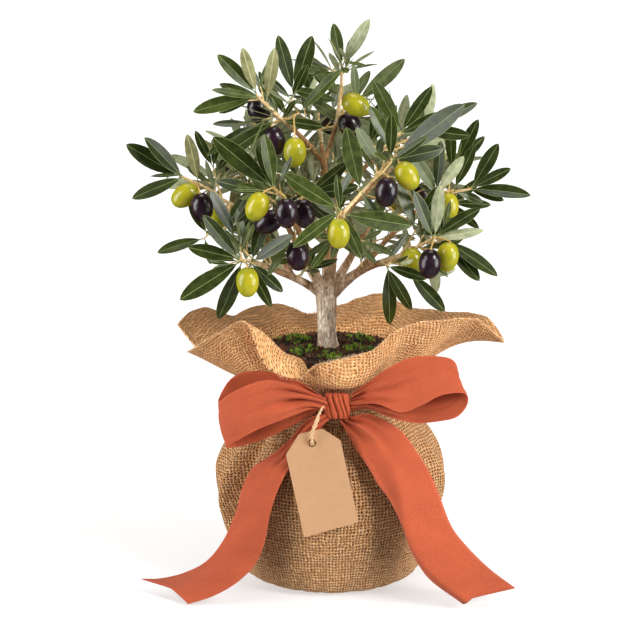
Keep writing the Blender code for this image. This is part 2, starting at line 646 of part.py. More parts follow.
# Foliage masses: name, bough, stem points after the bough's tip, and shoots.
# A shoot is (share of the stem it leaves at, tip, leaves); a leaf is its
# bearing in the upright plane facing the front and its length, and a bare
# number is a count of pairs set square to each other by the rule.
MASSES = (
    ("leaves_far_left", "bough_far_left", ((-85, -12, 308), (-96, -15, 317), (-115, -18, 327)), (
        (1.0, (-117, -18, 328), ((151, 45), (134, 24), (132, 40), (197, 38))),
        (0.62, (-104, -16, 322), ((98, 36), (184, 29))),
        (0.35, (-93, 4, 331), ((117, 28), (84, 20), (52, 28))),
        (0.2, (-101, 9, 273), ((189, 33), (286, 18), (120, 26), (76, 30))),
        (0.1, (-84, -22, 284), ((60, 34), (20, 34))),
        (0.1, (-80, 16, 280), 2),
    )),
    ("leaves_low_left", "bough_left", ((-60, -57, 268), (-68, -70, 272)), (
        (1.0, (-70, -71, 273), ((129, 40), (165, 36), (209, 49), (250, 49))),
        (0.45, (-63, -68, 270), ((293, 35), (318, 32), (38, 36), (74, 34))),
        (0.2, (-74, -40, 282), ((116, 38), (62, 30))),
    )),
    ("leaves_front_left", "bough_left_front", ((-36, -68, 316), (-42, -80, 328)), (
        (1.0, (-44, -81, 330), ((140, 55), (95, 38), (110, 33))),
        (0.3, (-52, -62, 322), ((165, 34), (226, 24), (122, 32))),
        (0.1, (-18, -66, 322), ((38, 36), (12, 34), (320, 30))),
    )),
    ("leaves_front", "bough_front", ((9, -88, 309), (9, -95, 314), (26, -86, 331), (40, -74, 346)), (
        (0.3, (7, -97, 316), ((152, 46), (214, 39), (347, 51), (293, 35))),
        (0.62, (22, -90, 329), ((104, 48), (300, 30))),
        (1.0, (48, -71, 353), ((115, 37), (38, 61), (87, 32), (9, 38))),
        (0.8, (45, -86, 351), ((37, 29),)),
        (0.85, (38, -77, 344), ((122, 33),)),
    )),
    ("leaves_upper_left", "bough_upper_left", ((-41, -33, 377), (-51, -42, 388), (-56, -46, 394)), (
        (1.0, (-57, -46, 396), ((134, 38), (109, 33), (170, 31), (188, 46))),
        (0.6, (-50, -38, 389), ((80, 37), (160, 34))),
        (0.15, (-42, -32, 374), ((210, 34), (213, 50), (350, 28), (60, 15))),
        (0.12, (-25, -33, 380), ((49, 43),)),
        (0.1, (-29, -18, 393), ((106, 42), (73, 42), (66, 26), (137, 22))),
        (0.25, (-60, -10, 368), ((228, 32), (178, 28), (205, 42))),
    )),
    ("leaves_top", "bough_top", ((6, 3, 380), (8, 1, 398), (8, 0, 409)), (
        (1.0, (8, 0, 411), ((100, 31), (62, 40))),
        (0.15, (20, 8, 383), ((40, 46), (96, 26), (63, 26))),
        (0.1, (8, 20, 384), ((127, 39), (134, 34), (166, 34))),
        (0.2, (14, 4, 366), ((152, 30), (224, 28), (338, 28))),
        (0.3, (0, 40, 370), 3),
    )),
    ("leaves_upper_right", "bough_upper_right", ((42, -34, 354), (51, -45, 365)), (
        (1.0, (53, -46, 367), ((58, 38), (117, 40), (25, 36))),
        (0.2, (74, -12, 366), ((21, 40), (80, 29), (352, 34))),
        (0.2, (60, 2, 350), ((50, 32), (5, 34), (110, 26))),
        (0.2, (30, -22, 354), ((76, 30), (56, 32), (200, 28))),
    )),
    ("leaves_far_right", "bough_far_right", ((89, -12, 313), (100, -11, 315), (108, -10, 316)), (
        (1.0, (110, -10, 317), ((56, 36), (28, 30), (2, 43), (347, 24))),
        (0.4, (96, -12, 316), ((64, 35), (335, 22))),
        (0.15, (98, 10, 332), ((62, 36), (41, 28), (95, 32))),
        (0.1, (82, -24, 316), ((51, 31), (85, 36), (118, 34))),
        (0.2, (96, 6, 302), ((359, 27), (42, 26), (318, 28))),
    )),
    ("leaves_low_right", "bough_right", ((52, -38, 268), (66, -50, 278), (78, -60, 287)), (
        (1.0, (79, -61, 288), ((33, 37), (83, 36), (111, 36), (9, 35))),
        (0.85, (88, -44, 283), ((329, 42), (312, 35))),
        (0.7, (77, -46, 272), ((281, 30),)),
        (0.1, (42, -58, 265), ((346, 28), (299, 38), (273, 46))),
        (0.1, (60, -42, 256), ((315, 38), (0, 34))),
        (0.35, (66, -30, 288), ((62, 36), (110, 34), (18, 38))),
    )),
    ("leaves_back_left", "bough_back_left", ((-52, 66, 296), (-64, 82, 306)), (
        (1.0, (-72, 92, 314), 3), (0.3, (-84, 56, 310), 3), (0.4, (-40, 92, 322), 3),
        (0.2, (-66, 66, 276), 3),
        (0.2, (-50, 44, 302), 2))),
    ("leaves_back_right", "bough_back_right", ((48, 62, 298), (60, 80, 308)), (
        (1.0, (68, 90, 316), 3), (0.3, (82, 54, 308), 3), (0.4, (34, 92, 322), 3), (0.2, (66, 64, 276), 3),
        (0.2, (44, 42, 302), 3), (0.1, (34, 66, 282), 2))),
    ("leaves_back", "bough_back", ((-4, 76, 294), (-2, 92, 304)), (
        (1.0, (-2, 106, 312), 3), (0.3, (-30, 88, 290), 3), (0.3, (24, 88, 288), 3),
        (0.2, (-4, 84, 318), 2))),
    ("leaves_upper_back", "bough_upper_back", ((-10, 56, 358), (-10, 64, 370)), (
        (1.0, (-10, 68, 378), 3), (0.2, (-42, 52, 364), 3), (0.2, (24, 58, 364), 3), (0.3, (-8, 84, 352), 3),
        (0.1, (-30, 26, 376), 2))),
    ("leaves_mid_right", "bough_mid_right", ((58, 34, 332), (70, 36, 342)), (
        (1.0, (76, 38, 348), 3), (0.1, (88, 34, 326), 3), (0.3, (54, 56, 350), 3), (0.2, (50, 16, 346), 2))),
    ("leaves_mid_left", "bough_mid_left", ((-58, 30, 328), (-64, 36, 334)), (
        (1.0, (-66, 42, 338), 3), (0.1, (-92, 34, 316), 3), (0.3, (-52, 56, 344), 3),
        (0.2, (-50, 10, 340), 2))),
)

# Fruit: mass, centre, colour
FRUIT = (
    ("leaves_far_left", (-114, -26, 314), "green"), ("leaves_far_left", (-100, -39, 307), "black"),
    ("leaves_far_left", (-91, 0, 291), "green"), ("leaves_low_left", (-64, -80, 257), "green"),
    ("leaves_front_left", (-56, -88, 317), "green"), ("leaves_front_left", (-34, -93, 313), "black"),
    ("leaves_front_left", (-48, -67, 301), "black"), ("leaves_front_left", (-21, -74, 309), "black"),
    ("leaves_front_left", (-26, -64, 274), "black"),
    ("leaves_upper_left", (-56, -22, 380), "black"), ("leaves_upper_left", (-44, -38, 359), "black"),
    ("leaves_upper_left", (-28, -50, 352), "green"), ("leaves_top", (19, -26, 385), "green"),
    ("leaves_top", (15, -4, 365), "black"), ("leaves_front", (5, -101, 299), "green"),
    ("leaves_front", (57, -80, 339), "green"), ("leaves_front", (41, -87, 328), "black"),
    ("leaves_far_right", (91, -21, 304), "green"), ("leaves_low_right", (75, -74, 270), "black"),
    ("leaves_low_right", (89, -62, 273), "green"), ("leaves_low_right", (63, -50, 266), "green"),
    ("leaves_back_left", (-62, 84, 290), "black"), ("leaves_back_left", (-46, 78, 300), "green"),
    ("leaves_back_right", (56, 78, 291), "green"), ("leaves_back_right", (74, 62, 296), "black"),
    ("leaves_back", (-10, 100, 293), "black"), ("leaves_back", (8, 98, 296), "green"),
    ("leaves_upper_back", (-2, 74, 358), "black"), ("leaves_mid_right", (84, 44, 332), "green"),
    ("leaves_mid_left", (-80, 40, 330), "black"),
)


def tree_of(verts, faces):
    """Search tree of a mesh, for the clearance tests."""
    return BVHTree.FromPolygons([tuple(v) for v in verts], faces)


def box_of(verts):
    """Lowest and highest corner of a row of points."""
    return (Vector([min(v[a] for v in verts) for a in range(3)]),
            Vector([max(v[a] for v in verts) for a in range(3)]))


class Kept:
    """Parts already placed, each with a box and a search tree."""

    def __init__(self):
        self.items = []

    def add(self, owner, verts, faces, kind):
        low, high = box_of(verts)
        self.items.append((owner, kind, low, high, tree_of(verts, faces)))

    def hits(self, verts, faces, skip=None):
        """Whether a shape touches a kept part that skip doesn't leave out."""
        low, high = box_of(verts)
        tree = None
        for owner, kind, a, b, other in self.items:
            if skip and skip(owner, kind):
                continue
            if any(low[i] > b[i] or high[i] < a[i] for i in range(3)):
                continue
            tree = tree or tree_of(verts, faces)
            if tree.overlap(other):
                return True
        return False


def leaf_mesh(root, along, face, length, wide, sag, rings=2, grow=0.0):
    """Leaf with a ridged top, of six or twelve faces; grow fattens it for the tests."""
    side = along.cross(face)
    verts = [root - along * (0.9 - grow)]
    for share, width in LEAF_RINGS[rings]:
        middle = root + along * length * share - face * sag * share * share * length
        half = wide / 2 * width + grow
        verts += [middle + side * half - face * grow, middle + face * (LEAF_THICK + grow),
                  middle - side * half - face * grow]
    last = len(verts)
    verts.append(root + along * (length + grow) - face * sag * length)
    faces = []
    for k in range(3):
        n = (k + 1) % 3
        faces += [(0, 1 + n, 1 + k), (last, last - 3 + k, last - 3 + n)]
        faces += [(1 + k, 1 + n, 4 + n, 4 + k)] * (rings - 1)
    return verts, faces


def leaf_face(along, outward, roll):
    """Direction a leaf's upper side faces, rolled about the leaf."""
    face = across(along, outward)
    return Matrix.Rotation(roll, 3, along) @ face


def stem_point(points, share):
    """Point and direction at a share of a stem's length."""
    place = min(share, 0.999) * (len(points) - 1)
    i = int(place)
    step = points[i + 1] - points[i]
    return points[i] + step * (place - i), step.normalized()


def leaf_plan(rng, shoot_from, tip, leaves):
    """Root, direction, outward side and length of each leaf of a shoot."""
    run = (tip - shoot_from)
    ahead = run.normalized()
    out = []
    if isinstance(leaves, int):
        turn = rng.uniform(0, math.pi)
        base = across(ahead)
        for pair in range(leaves):
            root = tip - ahead * min(PAIR_STEP * pair, run.length * 0.9)
            for half in (0, 1):
                spin = turn + pair * math.pi / 2 + half * math.pi + rng.uniform(-0.3, 0.3)
                side = Matrix.Rotation(spin, 3, ahead) @ base
                open_ = math.radians(rng.uniform(32, 50) + 8 * pair)
                way = (ahead * math.cos(open_) + side * math.sin(open_)).normalized()
                out.append((root, way, None, LEAF_LONG * rng.uniform(0.78, 1.04)))
        return out
    for index, (bearing, length) in enumerate(leaves):
        root = tip - ahead * min(PAIR_STEP * (index // 2) * 0.6, run.length * 0.8)
        a = math.radians(bearing)
        out.append((root, Vector((math.cos(a), 0.0, math.sin(a))), "front", float(length)))
    return out


def grow_stem(name, bough, stem, kept, tips):
    """Main stem of a mass, clear of the tip of its bough."""
    start, heading, thick = tips[bough]
    points = [start + heading * GAP, start + heading * 3.5] + smooth([Vector(p) for p in stem], 2)
    mesh = tube(points, tapered(thick, 1.25, len(points)), 5)
    kept.add(name, *mesh, "wood")
    return points, mesh


def grow_shoots(name, points, shoots, kept):
    """Side twigs of a mass that touch nothing outside it."""
    pieces = []
    twigs = []
    for share, tip, leaves in shoots:
        tip = Vector(tip)
        root, _ = stem_point(points, max(share, 1.6 / (len(points) - 1)))
        if (tip - root).length < 6.0:
            root = root - (tip - root).normalized() * 0.5
        middle = root.lerp(tip, 0.5) - Vector((0.0, 0.0, 0.05)) * (tip - root).length
        path = [root, middle, tip] if (tip - root).length > 30.0 else [root, tip]
        test = [root.lerp(tip, 0.1)] + path[1:]
        if kept.hits(*tube(test, tapered(1.8, 1.4, len(path)), 3), skip=lambda owner, kind: owner == name):
            continue
        mesh = tube(path, tapered(1.25, TWIG_TIP, len(path)), 3)
        kept.add(name, *mesh, "wood")
        pieces.append(mesh)
        twigs.append((root, tip, leaves))
    return pieces, twigs


def grow_leaves(name, twigs, kept, rng):
    """Leaves of every shoot that find room."""
    pieces = []
    for root, tip, leaves in twigs:
        for place, way, front, length in leaf_plan(rng, root, tip, leaves):
            leaf = fit_leaf(rng, name, place, way, front, length, kept)
            if leaf:
                pieces.append(leaf)
    return pieces


def fit_leaf(rng, name, place, way, front, length, kept):
    """First of a few tilts at which a leaf clears everything placed before."""
    for attempt in range(TRIES):
        lean = rng.uniform(-0.42, 0.30) if front else rng.uniform(-0.25, 0.25)
        roll = rng.uniform(-0.5, 0.5)
        sag = rng.uniform(0.0, 0.09)
        if front:
            along = Vector((way.x, lean, way.z)).normalized()
            outward = Vector((0.0, -1.0, 0.45))
            reach = (length + PETIOLE) * math.sqrt(1.0 + lean * lean)
        else:
            spread = Vector((rng.uniform(-1, 1), rng.uniform(-1, 1), rng.uniform(-1, 1))) * 0.12 * attempt
            along = (way + spread + Vector((0.0, 0.0, lean * 0.5))).normalized()
            outward = (place - CROWN_CENTRE).normalized() + Vector((0.0, 0.0, 0.7))
            reach = length * (1.0 - 0.04 * attempt)
        face = leaf_face(along, outward, roll)
        wide = reach * LEAF_WIDE * rng.uniform(0.92, 1.12)
        root = place + along * 0.2 + face * rng.uniform(-0.15, 0.15)
        far = root + along * 5.0
        rings = 2 if front and length > FINE_LEAF else 1
        cut = leaf_mesh(far, along, face, reach - 5.0, wide, sag, rings, 0.25)
        if kept.hits(*cut, skip=lambda owner, kind: owner != name or kind in ("wood", "leaf")):
            continue
        grown = leaf_mesh(root, along, face, reach, wide, sag, rings, 0.4)
        if kept.hits(*grown, skip=lambda owner, kind: owner == name or kind == "blade"):
            continue
        leaf = leaf_mesh(root, along, face, reach, wide, sag, rings)
        kept.add(name, *leaf, "leaf")
        kept.add(name, *cut, "blade")
        return leaf
    return None


def fruit_mesh(centre, axis, grow=0.0):
    """Olive: an egg-round body of three rings."""
    side = across(axis, Vector((1.0, 0.0, 0.0)))
    other = axis.cross(side)
    rows = [[centre - axis * (FRUIT_HALF + grow)]]
    for rise in (-0.62, 0.0, 0.62):
        r = (FRUIT_RADIUS + grow) * math.sqrt(1 - rise * rise) * 1.06
        rows.append([centre + axis * rise * FRUIT_HALF + (side * math.cos(a) + other * math.sin(a)) * r
                     for a in around(FRUIT_SIDES)])
    rows.append([centre + axis * (FRUIT_HALF + grow)])
    return turned_solid(rows, FRUIT_SIDES)


def fruit_pieces(name, centre, points, twigs, kept):
    """Olive and its stalk, hung from the nearest twig of the mass."""
    top = centre + Vector((0.0, 0.0, FRUIT_HALF - 1.0))
    spots = [stem_point(points, k / 12)[0] for k in range(13)]
    for root, tip, _ in twigs:
        spots += [root.lerp(tip, k / 6) for k in range(1, 7)]
    spots.sort(key=lambda p: (p - top).length + 3.0 * max(0.0, top.z + 2.0 - p.z))
    own = ("wood", "stalk")
    upright = Vector((0.0, 0.0, 1.0))
    if kept.hits(*fruit_mesh(centre, upright, 0.5), skip=lambda owner, kind: owner == name and kind in own):
        return []
    body = fruit_mesh(centre, upright)
    for hang in spots[:20]:
        middle = hang.lerp(top, 0.5) + Vector((0.0, 0.0, 1.5))
        bend = [hang, middle, top] if (top - hang).length > 12.0 else [hang, top]
        wide = tube(bend, [STALK_RADIUS + 0.4] * len(bend), 3)
        if not kept.hits(*wide, skip=lambda owner, kind: owner == name):
            break
    else:
        return []
    stalk = tube(bend, [STALK_RADIUS] * len(bend), 3)
    kept.add(name, *fruit_mesh(centre, upright, 0.3), "fruit")
    kept.add(name, *stalk, "stalk")
    return [body, stalk]


def join_mass(name, pieces):
    """One Boolean union of all pieces, applied, and the helpers removed."""
    body = make(name, *pieces[0], (0.06, 0.11, 0.03))
    for solver in ("EXACT", "MANIFOLD"):
        group = bpy.data.collections.new(f"{name}_pieces")
        for index, (verts, faces) in enumerate(pieces[1:]):
            part = make(f"{name}_piece_{index}", verts, faces, (0.06, 0.11, 0.03))
            bpy.context.scene.collection.objects.unlink(part)
            group.objects.link(part)
            part.hide_render = True
            part.display_type = "WIRE"
        before = body.data
        boolean(body, "UNION", group=group, solver=solver)
        remove(group.objects)
        bpy.data.collections.remove(group)
        if len(body.data.vertices) > len(before.vertices):
            break
        body.data = before
    keep_largest(body)
    return body


def limb(rows, grow=0.0, steps=2, sides=8):
    """Tapering limb from points with the radius last; grow fattens it all round."""
    line = smooth([Vector(r[:3]) for r in rows], steps)
    radii = smooth([Vector((r[3], 0.0, 0.0)) for r in rows], steps)
    line[0] = line[0] + (line[0] - line[1]).normalized() * grow
    line[-1] = line[-1] + (line[-1] - line[-2]).normalized() * grow
    return tube(line, [v.x + grow * 1.1 for v in radii], sides)


def plant():
    """Trunk, boughs and foliage masses."""
    kept = Kept()
    bark = (0.34, 0.29, 0.23)
    make("trunk", *limb(TRUNK, sides=10, steps=1), bark)
    kept.add("trunk", *limb(TRUNK, GAP, sides=10, steps=1), "limb")
    limbs = {"trunk": (TRUNK, 10, 1)}
    tips = {}
    for name, sides, against, rows in BOUGHS:
        body = make(name, *limb(rows, sides=sides), bark)
        for other in against:
            base, count, steps = limbs[other]
            cutter = make(f"{name}_cutter", *limb(base, GAP, steps, count), bark)
            cutter.hide_render = True
            cutter.display_type = "WIRE"
            boolean(body, "DIFFERENCE", cutter)
            remove([cutter])
        keep_largest(body)
        limbs[name] = (rows, sides, 2)
        kept.add(name, *limb(rows, GAP, 2, sides), "limb")
        line = smooth([Vector(r[:3]) for r in rows], 2)
        heading = (line[-1] - line[-2]).normalized()
        tips[name] = (Vector(rows[-1][:3]), heading, rows[-1][3])
    return kept, tips


def main():
    for old in list(bpy.data.objects):
        bpy.data.objects.remove(old, do_unlink=True)
    sack = sack_body()
    hem = collar()
    root_ball()
    for index, clump in enumerate(MOSS):
        moss_clump(index + 1, *clump)
    ribbon()
    tag()
    twine()
    kept, tips = plant()
    for body in (sack, hem):
        verts = [v.co / MM for v in body.data.vertices]
        kept.add(body.name, verts, [tuple(f.vertices) for f in body.data.polygons], "cloth")
    stems = {name: grow_stem(name, bough, stem, kept, tips) for name, bough, stem, _ in MASSES}
    wood = {name: grow_shoots(name, stems[name][0], shoots, kept) for name, _, _, shoots in MASSES}
    fruit = {name: [] for name in wood}
    for name, spot, _ in FRUIT:
        fruit[name] += fruit_pieces(name, Vector(spot), stems[name][0], wood[name][1], kept)
    rng = random.Random(SEED)
    for name in wood:
        pieces, twigs = wood[name]
        leaves = grow_leaves(name, twigs, kept, rng)
        join_mass(name, [stems[name][1]] + pieces + fruit[name] + leaves)


main()
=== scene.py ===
"""Looks of a small olive tree in a burlap sack, laid out as an add-on.

Tables and rules are in millimetres and meshes are made in metres. The front
faces -Y, the tree grows towards +Z and the sack stands on z = 0.
"""
import math
import random
from functools import partial

import bpy
import numpy as np
from bpy.props import FloatProperty, FloatVectorProperty, IntProperty, PointerProperty
from mathutils import Matrix, Vector, kdtree, noise
from mathutils.bvhtree import BVHTree


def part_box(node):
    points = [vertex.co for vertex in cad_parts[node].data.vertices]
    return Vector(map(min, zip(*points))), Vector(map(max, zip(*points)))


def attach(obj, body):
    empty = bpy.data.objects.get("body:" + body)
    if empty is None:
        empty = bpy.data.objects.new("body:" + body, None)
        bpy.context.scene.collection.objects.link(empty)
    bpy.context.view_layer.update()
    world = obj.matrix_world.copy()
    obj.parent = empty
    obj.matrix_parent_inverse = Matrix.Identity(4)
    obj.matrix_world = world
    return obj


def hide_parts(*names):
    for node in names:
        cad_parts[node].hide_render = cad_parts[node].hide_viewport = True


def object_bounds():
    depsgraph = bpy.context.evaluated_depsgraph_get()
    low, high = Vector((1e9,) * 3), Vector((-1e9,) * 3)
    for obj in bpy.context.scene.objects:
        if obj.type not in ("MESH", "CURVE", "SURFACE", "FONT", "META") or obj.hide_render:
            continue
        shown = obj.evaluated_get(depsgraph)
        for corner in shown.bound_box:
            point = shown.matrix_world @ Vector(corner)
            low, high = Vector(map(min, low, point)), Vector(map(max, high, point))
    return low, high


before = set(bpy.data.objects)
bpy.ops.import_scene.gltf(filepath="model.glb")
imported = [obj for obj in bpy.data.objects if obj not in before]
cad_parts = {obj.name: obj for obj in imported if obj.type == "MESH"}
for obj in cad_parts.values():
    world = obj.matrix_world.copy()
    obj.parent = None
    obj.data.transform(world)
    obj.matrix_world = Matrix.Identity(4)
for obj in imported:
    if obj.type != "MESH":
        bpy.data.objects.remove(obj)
cad_low, cad_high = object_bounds()

bl_info = {
    "name": "Potted olive tree",
    "version": (1, 0, 0),
    "blender": (4, 5, 0),
    "location": "3D View > Sidebar > Olive tree",
    "description": "Dresses a small olive tree in a burlap sack with a ribbon bow and a tag",
    "category": "Add Mesh",
}

MM = 0.001
BODY = "root"
UP = Vector((0, 0, 1))
RIGHT = Vector((1, 0, 0))
SEED = 41
# room between a solid and what carries it
GAP = 0.32

# Sack
# height and radius
SACK_PROFILE = (
    (0, 62), (1.8, 67), (6, 72.5), (22, 79), (42, 85.5), (64, 90.5), (84, 91.5), (102, 87), (118, 79),
    (134, 67.5), (157, 59),
)
CLOTH = 1.6
# radius where the sack is widest
WIDEST = 91.5
GATHERS = 16
GATHER_DEPTH = 2.0
SIDE_FOLD_ANGLE = -43.0
SIDE_FOLD_DEPTH = 2.6
SIDE_FOLD_HEIGHT = 45.0
COLLAR_FOOT = (157.4, 59.0)
LIP_ANGLE = -6.0
LIP_WIDTH = 16.0
LIP_RISE = 15.0
# bearing from +X seen from above, radius, height
COLLAR_RIM = (
    (-108, 76, 183), (-97, 77, 192), (-69, 86, 203), (-58, 94, 219), (-48, 100, 225), (-22, 120, 220),
    (-4, 138, 192), (4.5, 128, 206), (26, 103, 204.5), (45, 90, 204), (61, 86, 213), (90, 74, 200.5),
    (106, 68, 198), (116, 89, 202), (132, 94, 203), (148, 95, 200), (161, 110, 209.5), (175, 123, 202),
    (187, 108, 188), (200, 119, 192), (215, 108, 212), (231, 96, 227), (242, 84, 200),
)
# folds of the sack: bearing at the neck, bearing low down, height where it ends, depth, half width
SACK_CREASES = (
    (-133, -157, 30, 13, 4.6), (-156, -170, 56, 5, 6), (-36, -20, 60, 5, 6), (-56, -50, 84, 3.4, 4.5),
    (-84, -87, 92, 3.2, 4), (-8, 0, 58, 3.4, 5), (24, 30, 70, 3, 5), (52, 50, 52, 4, 6), (84, 92, 74, 3, 5),
    (112, 122, 60, 3.6, 5), (146, 152, 70, 3, 5), (170, 176, 84, 2.4, 4),
)
CREASE_TOP = 140.0
# folds of the collar: bearing at the neck and at the hem, depth, half width
COLLAR_CREASES = (
    (-127, -129, 4.5, 7), (-49, -50, 3.6, 6), (-158, -160, 3, 6), (-12, -14, 3, 5), (18, 22, 3, 6),
    (66, 62, 3.5, 7), (112, 118, 3.2, 6), (150, 148, 3, 6),
)
# hem that rolls outwards: bearing, half width, reach
LIP_ROLLS = ((-119, 10, 17), (-40, 18, 2.5), (60, 20, 3), (140, 18, 3))
# collar that droops over the knot: share of its height, radius, height
FRONT_BULGE = -80.0
FRONT_WIDTH = 17.0
FRONT_PROFILE = (
    (0, 58, 157.4), (0.12, 60.5, 162.5), (0.25, 66, 168.6), (0.38, 74, 169.8), (0.52, 79, 173.5),
    (0.75, 79.5, 182), (1, 79, 190),
)
# cloth that lies over the soil's edge and turns down: share of its height, radius, height
NOTCH = -114.0
NOTCH_WIDTH = 10.0
NOTCH_PROFILE = (
    (0, 59, 157.4), (0.3, 61.5, 171), (0.5, 60, 183), (0.65, 60.5, 188), (0.82, 67, 187.5), (1, 76, 183),
)
CLOTH_COLUMNS = 320
CLOTH_STEP = 2.6
CLOTH_LOOKS = 1.2
COLLAR_LENGTH = 80.0
HEM_FIBRES = 1100
LOOSE_FIBRES = 260
HEM_FIBRE_RADIUS = 0.16
LOOSE_FIBRE_RADIUS = 0.14
LOOSE_FIBRE_LENGTHS = (3.0, 8.0)

# Soil and moss
SOIL_TOP = 187.0
SOIL_RADIUS = 54.0
SOIL_COLUMNS = 120
SOIL_CRUMBS = 1300
# room for the folds of the cloth
FOLD_ROOM = 12.0
# place, half width and height of each cushion
MOSS = ((-30, 22, 15, 4), (-21, -16, 13, 3.5), (24, 26, 15, 4), (22, -10, 12, 3), (3, -33, 12, 3))
MOSS_SPRIGS = 210
CHUNK = (
    (0, 0, 1), (0.9, 0, 0.4), (0.28, 0.86, 0.4), (-0.73, 0.53, 0.4), (-0.73, -0.53, 0.4),
    (0.28, -0.86, 0.4), (0, 0, -1),
)
CHUNK_FACES = (
    (0, 1, 2), (0, 2, 3), (0, 3, 4), (0, 4, 5), (0, 5, 1), (6, 2, 1), (6, 3, 2), (6, 4, 3), (6, 5, 4),
    (6, 1, 5),
)

# Ribbon
KNOT_CENTRE = (4.5, -72.5, 157.5)
KNOT_SIZE = (21.0, 10.0, 20.0)
# folds of the knot: place across it, depth, half width
KNOT_FOLDS = ((-0.66, 0.3, 0.05), (-0.16, 0.46, 0.08), (0.3, 0.3, 0.045), (0.62, 0.4, 0.07))
BAND_HEIGHT = (149.5, 156.8)
BAND_SWELL_ANGLE = 12.0
BAND_LOOKS = 0.5
RIBBON_LOOKS = 0.55
# dents of the loops: share of the width, distance from the knot, half sizes, depth
LEFT_DENTS = ((0.6, 28, 0.11, 17, 6.5), (0.25, 26, 0.08, 16, 3))
RIGHT_DENTS = ((0.34, 34, 0.11, 20, 5.5), (0.66, 26, 0.08, 15, 3))
# both edges of each run, from the knot outwards; the right tail is folded along its middle
LOOP_LEFT = (
    ((-6, -76, 164), (-6, -76.5, 156)), ((-26, -86, 176), (-18, -84, 157)),
    ((-47, -92, 183), (-39, -92, 151)), ((-63, -94, 180), (-58, -95, 144)),
    ((-78, -92, 172), (-73, -94, 135)), ((-87, -83, 164), (-81, -86, 128)),
    ((-80, -71, 176), (-76, -77, 125)), ((-69, -69, 183), (-64, -75, 127)),
    ((-52, -69.5, 184), (-46, -76, 134)), ((-33, -71, 180), (-27, -76, 144)),
    ((-18, -71.5, 172), (-16, -73.5, 150)), ((-6, -71.5, 163), (-6, -71.5, 156)),
)
LOOP_RIGHT = (
    ((15.4, -75, 167), (15.4, -76, 159)), ((29, -74, 177), (35, -87, 163)),
    ((44, -74, 188), (53, -94, 158)), ((60, -75, 196), (68, -97, 164)), ((77, -76, 198), (84, -95, 172)),
    ((92, -77, 196), (102, -90, 172)), ((97, -76, 187), (104.5, -88, 163)),
    ((91, -75, 176), (97, -88, 153)), ((78, -74, 169), (84, -87, 149)), ((60, -73, 165), (64, -85, 147)),
    ((43, -72.5, 164), (44, -82, 151)), ((28, -72, 164), (29, -77, 156)),
    ((15.4, -71.5, 162), (15.4, -72, 156)),
)
TAIL_LEFT = (
    ((-7, -72, 149), (-2, -72.5, 146.5)), ((-19, -75, 147), (-11, -78, 138)),
    ((-31, -77, 133), (-21, -84, 127)), ((-48, -77, 118), (-29, -90, 117)),
    ((-61, -75, 108), (-36, -93, 107)), ((-69, -74, 92), (-43, -95, 92)), ((-75, -73, 70), (-48, -96, 75)),
    ((-84.5, -72, 48), (-51.5, -95, 55)), ((-99, -67, 28), (-59, -94, 36)),
    ((-118, -63, 16.5), (-73, -93, 20.5)), ((-136, -61, 11.5), (-92, -92, 8.5)),
    ((-151, -60, 11), (-112, -91, 1.4)),
)
TAIL_RIGHT = (
    ((16, -73, 149), (10, -74, 146.5), (6, -72.5, 146)), ((29, -77, 152), (21, -83, 142), (12, -78, 137)),
    ((44, -79, 146), (33, -90, 133), (19, -85, 126)), ((56, -81, 137), (42, -96, 121), (28, -91, 114)),
    ((67, -81, 121), (48, -100, 109), (36, -95, 101)), ((77, -80, 104), (53, -101, 94), (44, -96, 90)),
    ((84, -80, 87), (55, -102, 80), (50, -97, 79)), ((94, -80, 61.5), (58, -102, 66), (55.5, -98, 66)),
    ((107.5, -80, 43.5), (66, -102, 47), (63, -98.5, 46)), ((125, -80, 26), (81, -102, 28), (76, -98, 25)),
    ((145, -80, 10.5), (111, -101, 2.2), (103, -96, 3.4)),
)

# Tag and twine
TAG_THICK = 0.6
# depth and height of the tag's foot, and how far it leans back for its rise
TAG_DEPTH = -101.5
TAG_FOOT = 60.0
TAG_LEAN = 0.135
TAG_CORNERS = ((-21, 60), (21, 72), (7, 135), (-7, 144), (-25, 140), (-35, 124))
TAG_HOLE = (-15.0, 133.0)
TAG_HOLE_RADIUS = 3.3
TAG_STEPS = 8
TAG_RINGS = 9
YARN_RADIUS = 0.38
# distance from the middle of the twine to a strand and of a strand to a yarn, and their turns
STRAND_OFF = 0.66
STRAND_TURN = 9.0
YARN_OFF = 0.28
YARN_TURN = 3.6

# Trunk and boughs: points with the radius last
TRUNK = (
    (-2.5, -1, 187.9, 9.6), (-2.8, -1, 192, 8.7), (-3.3, -1, 205, 8.6), (-3.6, -1, 216, 9.2),
    (-3.8, -1, 226, 10.2), (-4, -1, 234, 11.4), (-4, -0.5, 240, 10.2), (-4, 0, 244, 7.2),
)
